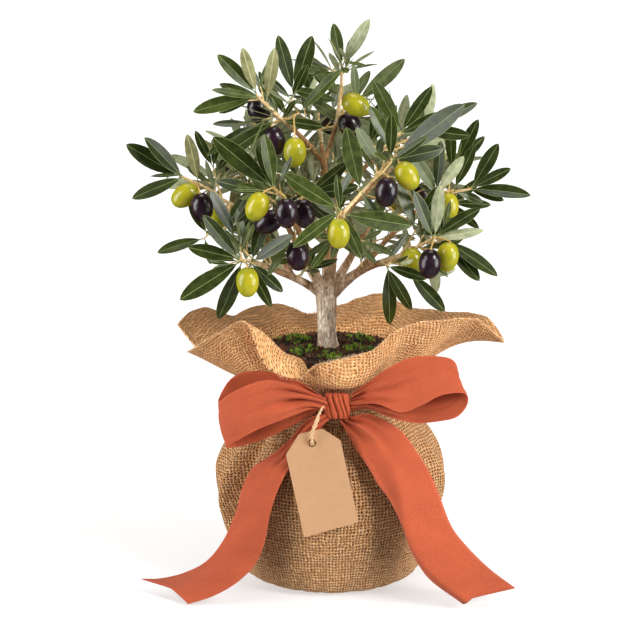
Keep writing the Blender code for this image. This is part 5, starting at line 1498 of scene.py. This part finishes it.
def ribbon_grid(stations, steps, columns, pleats, cloth, dents):
    """Rows of points across a ribbon, pleated where it is narrower than its cloth.

    A dent is its share of the width, its distance from the knot, its half sizes and its depth.
    """
    lines = [smooth([s[k] for s in stations], steps) for k in range(len(stations[0]))]
    grid = [smooth([line[i] for line in lines], columns) for i in range(len(lines[0]))]
    count = len(grid[0])
    middle = count // 2
    lengths = lengths_along([row[middle] for row in grid])
    out = []
    for i, row in enumerate(grid):
        wide = sum((row[k + 1] - row[k]).length for k in range(count - 1))
        spare = max(0.0, cloth / wide - 1.0)
        away = (row[middle] - Vector(KNOT_CENTRE)).length - 14.0
        deep = min(4.0, wide / (math.pi * pleats) * math.sqrt(spare) * 1.8)
        deep *= math.exp(-max(0.0, away) / 32.0)
        ahead, behind = grid[min(i + 1, len(grid) - 1)], grid[max(i - 1, 0)]
        new = []
        for k, p in enumerate(row):
            share = k / (count - 1)
            flat = row[min(k + 1, count - 1)] - row[max(k - 1, 0)]
            face = (ahead[k] - behind[k]).cross(flat).normalized()
            phase = math.pi * pleats * (share + 0.03 * math.sin(0.09 * lengths[i])) + 0.9
            wave = 2.0 * abs(math.sin(phase)) ** 0.6 - 1.0
            edge = math.sin(math.pi * min(1.0, 5 * min(share, 1 - share)) / 2)
            push = deep * wave * edge + 0.35 * rough(p.x, p.y, p.z, 26.0)
            for at, along, half_wide, half_long, depth in dents:
                near = ((share - at) / half_wide) ** 2 + ((lengths[i] - along) / half_long) ** 2
                push -= depth * math.exp(-near)
            new.append(p + face * push)
        out.append(new)
    return out, lengths


def ribbon_piece(name, stations, skins, wide, steps=8, columns=16, pleats=3.0, notch=0.0,
                 dents=()):
    """One run of ribbon as a sheet that replaces its node."""
    grid, lengths = ribbon_grid(stations, steps, columns, pleats, wide, dents)
    count = len(grid[0])
    if notch:
        depth = notch * (lengths[-1] - lengths[-1 - steps])
        first = len(grid) - 1 - 2 * steps
        for i in range(first + 1, len(grid)):
            span = (lengths[i] - lengths[first]) / (lengths[-1] - lengths[first])
            for k in range(count):
                cut = depth * span * max(0.0, 1.0 - abs(k / (count - 1) - 0.5) * 2.0)
                back = grid[i - 1][k] - grid[i][k]
                grid[i][k] = grid[i][k] + back.normalized() * cut
    faces, uvs = sheet_faces(len(grid), count, lambda i, k: (wide * k / (count - 1), lengths[i]), False)
    body = piece(name, [p for row in grid for p in row], faces, skins, uvs=uvs, sharp=60.0)
    thick(body, RIBBON_LOOKS, 0.0)
    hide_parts(name.replace("twill", "ribbon"))


def knot_lump(skins):
    """Knot: the ribbon wound round itself in upright folds."""
    cx, cy, cz = KNOT_CENTRE
    half = Vector(KNOT_SIZE) / 2
    rows, columns = 26, 150
    verts = []
    for i in range(rows):
        v = -1.0 + 2.0 * i / (rows - 1)
        share = 0.74 + 0.26 * math.sqrt(max(0.0, 1.0 - abs(v) ** 2.6))
        for a in around(columns):
            c, s = math.cos(a), math.sin(a)
            x = math.copysign(abs(c) ** 0.72, c)
            y = math.copysign(abs(s) ** 0.62, s)
            lean = x + 0.24 * v + 0.05 * math.sin(2.6 * v + 2.0 * x)
            pleat = sum(depth * hump(lean - at, width) for at, depth, width in KNOT_FOLDS)
            pleat = 1.0 - pleat * max(0.0, -y) ** 0.3
            fine = 0.3 * rough(30 * x, 30 * y, 10 * v, 4.0)
            verts.append(Vector((cx + half.x * share * x * 0.98,
                                 cy + (half.y * share * pleat + fine * 0.4) * y * 1.02,
                                 cz + half.z * v)))
    faces, uvs = sheet_faces(rows, columns, lambda i, k: (8.0 + 24.0 * k / columns, 20.0 * i / rows), True)
    for first, flip in ((0, True), ((rows - 1) * columns, False)):
        centre = len(verts)
        verts.append(sum(verts[first:first + columns], Vector()) / columns)
        for k in range(columns):
            a, b = first + k, first + (k + 1) % columns
            faces.append((centre, b, a) if flip else (centre, a, b))
            uvs += [(20.0, 0.0), (20.0, 1.0), (21.0, 1.0)]
    body = piece("twill_knot", verts, faces, skins, uvs=uvs, sharp=70.0)
    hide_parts("ribbon_knot")
    return body


def neck_band(skins):
    """Ribbon gathered round the neck of the sack."""
    columns, rows = 240, 9
    low, high = BAND_HEIGHT
    bearing = math.atan2(KNOT_CENTRE[1], KNOT_CENTRE[0])
    seat = abs(KNOT_CENTRE[1]) - KNOT_SIZE[1] / 2 - GAP + 0.2
    verts = []
    for i in range(rows):
        share = i / (rows - 1)
        z = low + (high - low) * share
        for a in around(columns):
            r = sack_side(a, z) + GAP + 0.75 + 0.45 * math.sin(share * math.pi)
            r += 0.35 * math.sin(share * 3.4 * math.pi + 1.5 * math.sin(6 * a))
            r += (seat - r) * min(1.0, 1.6 * hump(short_way(math.degrees(a - bearing)), BAND_SWELL_ANGLE))
            verts.append(polar(r, a, z + 0.4 * rough(60 * math.cos(a), 60 * math.sin(a), 0.0, 12.0)))
    faces, uvs = sheet_faces(rows, columns, lambda i, k: (4.0 + 4.0 * i, 377.0 * k / columns), True)
    body = piece("twill_band", verts, faces, skins, uvs=uvs, sharp=70.0)
    thick(body, BAND_LOOKS, -1.0)
    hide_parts("ribbon_band")
    return body


def ribbon_bow(settings):
    """Knot, neck band, two loops and two tails of one cotton twill ribbon."""
    skins = [cotton_twill(settings)]
    wide = settings.ribbon_wide / MM
    knot = knot_lump(skins)
    band = neck_band(skins)
    folded = []
    for row in TAIL_RIGHT:
        a, b, c = (Vector(p) for p in row)
        folded.append((a, (a * 2 + b) / 3, (a + 2 * b) / 3, b, (b + c) / 2, c))
    ribbon_piece("twill_loop_left", bowed(LOOP_LEFT, 2.0), skins, wide,
                 dents=LEFT_DENTS)
    ribbon_piece("twill_loop_right", bowed(LOOP_RIGHT, 1.5), skins, wide, dents=RIGHT_DENTS)
    ribbon_piece("twill_tail_left", bowed(TAIL_LEFT, 2.0), skins, wide, notch=0.3)
    ribbon_piece("twill_tail_right", folded, skins, wide * 1.1, columns=4, notch=0.22)


# Tag and twine
def tag_y(z):
    """Depth of the tag's middle plane, which leans back towards its top."""
    return TAG_DEPTH + (z - TAG_FOOT) * TAG_LEAN


def card_tag(settings):
    """Blank card tag, slightly curled, with a punched hole."""
    outline = []
    for (x0, z0), (x1, z1) in zip(TAG_CORNERS, TAG_CORNERS[1:] + TAG_CORNERS[:1]):
        outline += [(x0 + (x1 - x0) * t / TAG_STEPS, z0 + (z1 - z0) * t / TAG_STEPS)
                    for t in range(TAG_STEPS)]
    hx, hz = TAG_HOLE

    def bearing(p):
        return math.atan2(p[1] - hz, p[0] - hx)

    outline.sort(key=bearing)
    count = len(outline)
    total = TAG_RINGS * count
    last = total - count
    verts, faces = [], []
    for out in (-TAG_THICK / 2, TAG_THICK / 2):
        for i in range(TAG_RINGS):
            share = (i / (TAG_RINGS - 1)) ** 1.6
            for x, z in outline:
                a = bearing((x, z))
                ex, ez = hx + TAG_HOLE_RADIUS * math.cos(a), hz + TAG_HOLE_RADIUS * math.sin(a)
                px, pz = ex + (x - ex) * share, ez + (z - ez) * share
                curl = 0.9 * ((px + 7.0) / 28.0) ** 2 + 0.6 * ((pz - 100.0) / 40.0) ** 2 - 0.5
                verts.append(Vector((px, tag_y(pz) + out - curl, pz)))
    for a, b, c, d in quads(TAG_RINGS, count):
        faces += [(a, b, c, d), (total + a, total + d, total + c, total + b)]
    for k in range(count):
        n = (k + 1) % count
        faces += [(k, total + k, total + n, n), (last + k, last + n, total + last + n, total + last + k)]
    body = piece("kraft_tag", verts, faces, [kraft_card(settings)], sharp=50.0)
    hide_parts("tag")


def plied_twine(settings):
    """Two plied strands from the knot through the tag's hole and back."""
    x, z = TAG_HOLE
    y = tag_y(z)
    path = smooth([(-6.6, -80.5, 159.0), (-11.4, y - 2.6, 152.0), (x + 0.2, y - 3.2, 142.5),
                   (x, y - 2.6, z + 1.4), (x + 0.2, y, z - 0.8), (x + 0.3, y + 2.6, z + 1.4),
                   (-13.4, -86.0, 141.0), (-9.5, -82.0, 151.5)], 12)
    side = Vector((1, 0.2, 0.1))
    sides = []
    for i in range(len(path)):
        ahead = ahead_at(path, i)
        side = across(ahead, side)
        sides.append((side, ahead.cross(side)))
    heap = Heap()
    for strand in (0.0, math.pi):
        for yarn in (0.0, 2.1, 4.2):
            line = []
            for p, (s, o), d in zip(path, sides, lengths_along(path)):
                a = strand + d * 2 * math.pi / STRAND_TURN
                b = yarn - d * 2 * math.pi / YARN_TURN
                line.append(p + (s * math.cos(a) + o * math.sin(a)) * STRAND_OFF
                            + (s * math.cos(b) + o * math.sin(b)) * YARN_OFF)
            heap.put(*tube(line, [YARN_RADIUS] * len(line), 6))
    body = heap.piece("cotton_twine_loop", [cotton_twine(settings)], "twine")
    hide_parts("twine")


# Trunk and boughs
def bark_limbs(settings):
    """Trunk and boughs as one skin with the bark's relief."""
    heap = Heap()
    marks = []
    for name, rows in [("trunk", TRUNK)] + [(name, rows) for name, _, rows in BOUGHS]:
        line, radii = centre_line(rows, 6)
        radii = [r * BARK_SLIM for r in radii]
        if name == "trunk":
            line[0] = line[0] - UP * 2.0
            radii = [r / BARK_SLIM * (0.90 - 0.12 * k / len(radii)) for k, r in enumerate(radii)]
        heap.put(*tube(line, radii, 20))
        marks += [(p, r, ahead_at(line, i)) for i, (p, r) in enumerate(zip(line, radii))]
    body = heap.piece("olive_bark_limbs", [olive_bark(settings)], "bark")
    step = body.modifiers.new("skin", "REMESH")
    step.mode = "VOXEL"
    step.voxel_size = BARK_VOXEL * MM
    ease = body.modifiers.new("ease", "SMOOTH")
    ease.factor = 0.5
    ease.iterations = 5
    applied(body)
    tree = kdtree.KDTree(len(marks))
    for i, (p, _, _) in enumerate(marks):
        tree.insert(p, i)
    tree.balance()
    mesh = body.data
    normals = [v.normal.copy() for v in mesh.vertices]
    for vert, normal in zip(mesh.vertices, normals):
        co = vert.co / MM
        p, radius, ahead = marks[tree.find(co)[1]]
        run = ahead * co.dot(ahead)
        crack = noise.noise((co - run) / 2.3 + run / 7.5)
        depth = min(0.42, 0.055 * radius)
        shift = (depth * (0.45 - 1.6 * abs(crack)) + 0.12 * depth * noise.noise(co / 0.9)
                 + 0.09 * radius * noise.noise(co / 11.0))
        scar = (co - Vector(SCAR)).length
        shift += 0.7 * hump(scar - 3.0, 1.1) - 0.6 * hump(scar, 1.6)
        vert.co = (co + normal * shift) * MM
    mesh.update()
    mesh.shade_smooth()
    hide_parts("trunk", *[name for name, _, _ in BOUGHS])


# Crown
def blade_half(share):
    """Half width of an olive leaf along its length, as a share of the widest."""
    if share < BLADE_START:
        return 0.085
    t = (share - BLADE_START) / (1.0 - BLADE_START)
    return max(0.085 * (1 - t), 2.81 * t ** 0.82 * (1.0 - t) ** 0.68)


def leaf_rise(x, half, fold, thickness):
    """Rise of a leaf's skin at a distance from its rib."""
    return fold * abs(x) * (1.0 - 0.35 * abs(x) / max(half, 0.1)) + thickness * (0.5 - 0.3 * abs(x) / half)


def fine_leaf(root, along, face, length, wide, sag, look, rng, stations=LEAF_STATIONS):
    """Olive leaf with a rib, pale edges and a thin body; gives its faces' materials too."""
    upper, under = look
    side = along.cross(face)
    fold = rng.uniform(0.05, 0.30)
    twist = rng.uniform(-0.35, 0.35)
    bend = rng.uniform(-0.05, 0.05)
    most = wide / 2 * LEAF_FULL
    verts, picks = [], []
    for share in stations:
        half = max(0.42, most * blade_half(share)) if share < 1.0 else 0.12
        turn = twist * share
        s = side * math.cos(turn) + face * math.sin(turn)
        f = face * math.cos(turn) - side * math.sin(turn)
        middle = (root + along * length * share - face * sag * share * share * length
                  + side * bend * length * share * share)
        rib = min(RIB_HALF, half * 0.35)
        rim_at = max(half - RIM_WIDE, half * 0.7)
        for x in (-half, -rim_at, -half * 0.5, -rib, rib, half * 0.5, rim_at, half):
            verts.append(middle + s * x + f * leaf_rise(x, half, fold, LEAF_SKIN))
        for x in (half, rib * 1.4, -rib * 1.4, -half):
            keel = 0.22 if abs(x) < half * 0.99 else 0.0
            verts.append(middle + s * x + f * (leaf_rise(x, half, fold, -LEAF_SKIN) - keel))
    strip = (EDGE, upper, upper, RIB, upper, upper, EDGE, EDGE, under, RIB_UNDER, under, EDGE)
    for share in stations[1:]:
        picks += [RIB] * 12 if share <= BLADE_START + 0.02 else strip
    return verts, quads(len(stations), 12) + caps(len(stations), 12), picks + [RIB, EDGE]


def spray_look(name, rng):
    """Shades of one spray of a mass: upper side and underside."""
    upper = rng.choices((0, 1, 2, 3), SHADES.get(name, SHADES_ELSEWHERE))[0]
    return upper, rng.choices((SILVER, OLIVE), (90, 10))[0]


def leaf_look(look, rng):
    """A leaf's own shades, mostly those of its spray."""
    upper, under = look
    if rng.random() < OWN_SHADE_SHARE:
        upper = rng.choice((0, 1, 2))
    return upper, under


def stands_at(middle, places):
    """Whether a leaf stands at one of the places seen from the front."""
    return any(math.hypot(middle.x - x, middle.z - z) < PLACE_REACH for x, z in places)


def small_sprays(line, twigs, box, kept, rng, count, reach, clear):
    """Short side twigs with small leaves off a stem and its twigs, inside a box."""
    low, high = box
    runs, leaves = [], []
    for _ in range(count * 3):
        if len(runs) >= count:
            break
        if twigs and rng.random() < 0.6:
            root, tip, _ = rng.choice(twigs)
            spot = root.lerp(tip, rng.uniform(0.15, 0.8))
            ahead = (tip - root).normalized()
        else:
            spot, ahead = stem_point(line, rng.uniform(0.3, 0.95))
        side = Matrix.Rotation(rng.uniform(0, 6.28), 3, ahead) @ across(ahead)
        way = (ahead * rng.uniform(0.2, 0.7) + side + UP * 0.35).normalized()
        length = rng.uniform(*reach)
        end = spot + way * length
        if not all(low[i] + 6 < end[i] < high[i] - 6 for i in range(3)):
            continue
        path = smooth([spot, spot.lerp(end, 0.5) + any_way(rng, -1, 0.4) * length * 0.07, end], 3)
        test = tube([spot + way * max(clear, length * 0.3), end], [0.8, 0.8], 3)
        if kept.hits(*test, lambda owner, kind: kind in ("wood", "blade")):
            continue
        runs.append(tube(path, tapered(0.62 + 0.012 * length, 0.48, len(path)), 6))
        look = spray_look(None, rng)
        spin = rng.uniform(0, 3.14)
        for index in range(rng.choice((3, 4, 5)) + int(length / 9.0)):
            out = Matrix.Rotation(spin + index * 1.9, 3, way) @ across(way)
            spread = rng.uniform(0.3, 0.9)
            along = (way * math.cos(spread) + out * math.sin(spread)).normalized()
            size = rng.uniform(*SMALL_LEAF_LENGTHS)
            share = 1.0 - min(0.85, index * 2.3 / length)
            base = path[round(share * (len(path) - 1))]
            far = base + along * size
            if not all(low[i] + 1 < far[i] < high[i] - 1 for i in range(3)):
                continue
            face = leaf_face(along, (base - CROWN_CENTRE).normalized() + UP * 0.7, rng.uniform(-0.4, 0.4))
            cut = leaf_mesh(base + along * 4.0, along, face, size - 4.0, size * 0.25, 0.03, 1, 0.1)
            if kept.hits(*cut, lambda owner, kind: kind in ("wood", "leaf")):
                continue
            kept.add("spray", *cut, "blade")
            leaves.append(fine_leaf(base, along, face, size, size * rng.uniform(0.21, 0.28), 0.04,
                                    leaf_look(look, rng), rng, SMALL_STATIONS))
    return runs, leaves


def bud(spot, way, rng):
    """Small bud, or now and then a spur that a stalk left, on a twig."""
    size = rng.uniform(0.7, 1.1)
    long = rng.uniform(2.4, 4.5) if rng.random() < SPUR_SHARE else 1.8
    path = [spot, spot + way * size * 0.8, spot + way * size * long]
    return tube(path, [size * 0.55, size * (0.6 if long < 2.0 else 0.36), 0.14], 5)


def olive_shape(centre, axis):
    """Olive: longer than wide, fullest a little below its stalk, with a small point."""
    rings = []
    for i in range(1, 15):
        turn = math.pi * i / 15
        rise = -math.cos(turn)
        rings.append((rise, FRUIT_RADIUS * math.sin(turn) ** 0.92 * (1.0 + 0.05 * rise)))
    return olive_body(centre, axis, rings, 22, FRUIT_HALF, FRUIT_HALF - 0.5)


def crown(settings):
    """Twigs, leaves, olives and stalks of every mass."""
    kept, tips, stems, twigs, olives, leaves = plan_crown()
    rng = random.Random(SEED + 5)
    twig_heap, leaf_heap, small_heap, fruit_heap, stalk_heap = (Heap() for _ in range(5))
    sprays = []
    for name, bough, _, _ in MASSES:
        tip, heading, radius = tips[bough]
        line = [tip - heading * 3.0] + smooth(stems[name][1:], 4)
        twig_heap.put(*tube(line, tapered(radius * BARK_SLIM * 1.02, 1.0, len(line)), 10), 0)
        for root, end, _ in twigs[name]:
            path = smooth([root, root.lerp(end, 0.5) - UP * 0.05 * (end - root).length, end], 5)
            twig_heap.put(*tube(path, tapered(1.05, TWIG_TIP * 0.8, len(path)), 8), 1)
            for _ in range(SPURS):
                spot = path[int(rng.uniform(0.1, 0.98) * (len(path) - 1))]
                twig_heap.put(*bud(spot, any_way(rng, -0.5).normalized(), rng), 1)
        look = spray_look(name, rng)
        for root, along, face, length, wide, sag in leaves[name]:
            if rng.random() < NEW_LOOK_SHARE:
                look = spray_look(name, rng)
            own = leaf_look(look, rng)
            middle = root + along * length * 0.5
            chance = rng.random() < DOWN_SIDE_SHARE
            if stands_at(middle, DEEP_GREENS):
                own = (0, SILVER)
            elif chance or stands_at(middle, UNDERSIDES):
                face = -face
                sag = -sag
            leaf_heap.put(*fine_leaf(root, along, face, length, wide, sag, own, rng))
        box = [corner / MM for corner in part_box(name)]
        sprays.append(small_sprays(stems[name], twigs[name], box, kept, rng, settings.small_sprays,
                                   SMALL_REACH, SMALL_CLEAR))
    edge = Vector((INNER_EDGE, INNER_EDGE, 0))
    inner = [cad_low / MM + edge, cad_high / MM - edge]
    inner[0].z, inner[1].z = INNER_HEIGHTS
    for _, _, rows in BOUGHS:
        line, _ = centre_line(rows, 3)
        sprays.append(small_sprays(line, [], inner, kept, rng, settings.inner_sprays,
                                   INNER_REACH, INNER_CLEAR))
    for runs, small in sprays:
        for run in runs:
            twig_heap.put(*run, 1)
        for leaf in small:
            small_heap.put(*leaf)
    for centre, kind, lean, hang in olives:
        axis = Vector((math.sin(lean), 0, math.cos(lean)))
        fruit_heap.put(*olive_shape(centre, axis), 0 if kind == "green" else 1)
        top = centre + axis * (FRUIT_HALF - 0.8)
        path = smooth([hang, hang.lerp(top, 0.5) + UP * 1.2, top + axis * 1.6, top], 4)
        stalk_heap.put(*tube(path, [1.0] + [0.62] * (len(path) - 4) + [0.8, 1.25, 1.35], 7))
    skins = leaf_skins()
    # Young olive wood: smooth and straw brown, paler where it is thinnest
    twig_heap.piece("olive_twigs", [mottled("twig_bark", "#BD9A66", "#E6CC9A", 0.8, 3, 0.25),
                                    mottled("young_twig", "#C8A45E", "#F0D498", 0.7, 3, 0.2)], "bark")
    big = leaf_heap.piece("olive_leaves", skins, "foliage", 35.0)
    small_heap.piece("olive_leaves_small", skins, "foliage", 35.0)
    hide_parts(*[name for name, _, _, _ in MASSES])
    fruit_heap.piece("olives", [
        olive_skin("green_olive_skin", settings.green_olive, "#8E9116", "#D2CB6A"),
        olive_skin("black_olive_skin", settings.black_olive, "#2C1523", "#5A4452"),
    ], "foliage", 60.0)
    # Fruit stalk: thin, woody and yellow brown
    stalk_heap.piece("olive_stalks", [mottled("fruit_stalk", "#AE8A44", "#D2AE66", 0.6, 2, 0.05)], "bark")


# Studio
def put_aimed(name, data, place, aim):
    """Put a light or a camera at a place and turn it to an aim."""
    body = bpy.data.objects.new(name, data)
    body.location = place
    body.rotation_euler = (aim - body.location).to_track_quat("-Z", "Y").to_euler()
    bpy.context.scene.collection.objects.link(body)
    return body


def studio():
    """Pale floor, soft lights and the camera at the photograph's viewing angle."""
    white = (1.0, 1.0, 1.0, 1.0)
    material, _, _ = skin("studio_floor", 0.9, [FLOOR_TONE] * 3, Emission_Color=white,
                          Emission_Strength=FLOOR_TONE)
    half = FLOOR_HALF
    mesh = bpy.data.meshes.new("studio_floor")
    mesh.from_pydata([(-half, -half, 0), (half, -half, 0), (half, half, 0), (-half, half, 0)], [],
                     [(0, 1, 2, 3)])
    mesh.materials.append(material)
    floor = bpy.data.objects.new("studio_floor", mesh)
    floor.location.z = -FLOOR_DROP
    bpy.context.scene.collection.objects.link(floor)
    floor.visible_glossy = False
    floor.visible_diffuse = False
    floor.visible_shadow = False
    world = bpy.data.worlds.new("studio_sky")
    bpy.context.scene.world = world
    world.use_nodes = True
    world.cycles_visibility.glossy = False
    back = world.node_tree.nodes["Background"]
    back.inputs["Color"].default_value = white
    back.inputs["Strength"].default_value = SKY_STRENGTH
    for name, place, angle, power in LIGHTS:
        light = bpy.data.lights.new(name, "SUN")
        light.angle = math.radians(angle)
        light.energy = power
        put_aimed(name, light, place, LIGHT_AIM)
    lens = bpy.data.cameras.new("camera")
    lens.lens = CAMERA_LENS
    lens.sensor_width = CAMERA_SENSOR
    tilt = math.radians(CAMERA_TILT)
    place = CAMERA_AIM + Vector((0, -math.cos(tilt), math.sin(tilt))) * CAMERA_AWAY
    bpy.context.scene.camera = put_aimed("camera", lens, place, CAMERA_AIM)
    bpy.context.scene.view_settings.view_transform = "Standard"


# Add-on
class OLIVE_OT_sack(bpy.types.Operator):
    """Make the burlap sack with its frayed hem"""
    bl_idname = "olive.sack"
    bl_label = "Burlap sack"

    def execute(self, context):
        settings = context.scene.olive_sack
        cloth, rows = burlap_sack(settings)
        hem_fibres(settings, cloth, rows)
        return {"FINISHED"}


class OLIVE_OT_soil(bpy.types.Operator):
    """Make the root ball, its crumbs and the moss"""
    bl_idname = "olive.soil"
    bl_label = "Soil and moss"

    def execute(self, context):
        soil_body()
        soil_crumbs()
        moss()
        return {"FINISHED"}


class OLIVE_OT_bow(bpy.types.Operator):
    """Make the ribbon bow"""
    bl_idname = "olive.bow"
    bl_label = "Ribbon bow"

    def execute(self, context):
        ribbon_bow(context.scene.olive_bow)
        return {"FINISHED"}


class OLIVE_OT_tag(bpy.types.Operator):
    """Make the blank tag and its twine"""
    bl_idname = "olive.tag"
    bl_label = "Tag and twine"

    def execute(self, context):
        card_tag(context.scene.olive_bow)
        plied_twine(context.scene.olive_bow)
        return {"FINISHED"}


class OLIVE_OT_wood(bpy.types.Operator):
    """Make the trunk and the boughs"""
    bl_idname = "olive.wood"
    bl_label = "Trunk and boughs"

    def execute(self, context):
        bark_limbs(context.scene.olive_crown)
        return {"FINISHED"}


class OLIVE_OT_crown(bpy.types.Operator):
    """Make the twigs, the leaves and the olives"""
    bl_idname = "olive.crown"
    bl_label = "Crown"

    def execute(self, context):
        crown(context.scene.olive_crown)
        return {"FINISHED"}


class OLIVE_OT_studio(bpy.types.Operator):
    """Make the floor, the lights and the camera"""
    bl_idname = "olive.studio"
    bl_label = "Studio"

    def execute(self, context):
        studio()
        return {"FINISHED"}


class OLIVE_PT_panel(bpy.types.Panel):
    """Sizes, colours and steps of the potted olive tree"""
    bl_idname = "OLIVE_PT_panel"
    bl_label = "Potted olive tree"
    bl_space_type = "VIEW_3D"
    bl_region_type = "UI"
    bl_category = "Olive tree"

    def draw(self, context):
        for group in SETTINGS:
            box = self.layout.box()
            for key in SETTINGS[group].__annotations__:
                box.prop(getattr(context.scene, group), key)
        for step in STEPS:
            self.layout.operator(step.bl_idname)


SETTINGS = {"olive_sack": SackSettings, "olive_bow": BowSettings, "olive_crown": CrownSettings}
STEPS = (OLIVE_OT_studio, OLIVE_OT_sack, OLIVE_OT_soil, OLIVE_OT_bow, OLIVE_OT_tag, OLIVE_OT_wood,
         OLIVE_OT_crown)


def register():
    for group, kind in SETTINGS.items():
        bpy.utils.register_class(kind)
        setattr(bpy.types.Scene, group, PointerProperty(type=kind))
    for kind in STEPS + (OLIVE_PT_panel,):
        bpy.utils.register_class(kind)


def unregister():
    for kind in (OLIVE_PT_panel,) + STEPS:
        bpy.utils.unregister_class(kind)
    for group, kind in SETTINGS.items():
        delattr(bpy.types.Scene, group)
        bpy.utils.unregister_class(kind)


def main():
    register()
    bpy.ops.olive.studio()
    bpy.ops.olive.sack()
    bpy.ops.olive.soil()
    bpy.ops.olive.bow()
    bpy.ops.olive.tag()
    bpy.ops.olive.wood()
    bpy.ops.olive.crown()


if __name__ == "__main__":
    main()
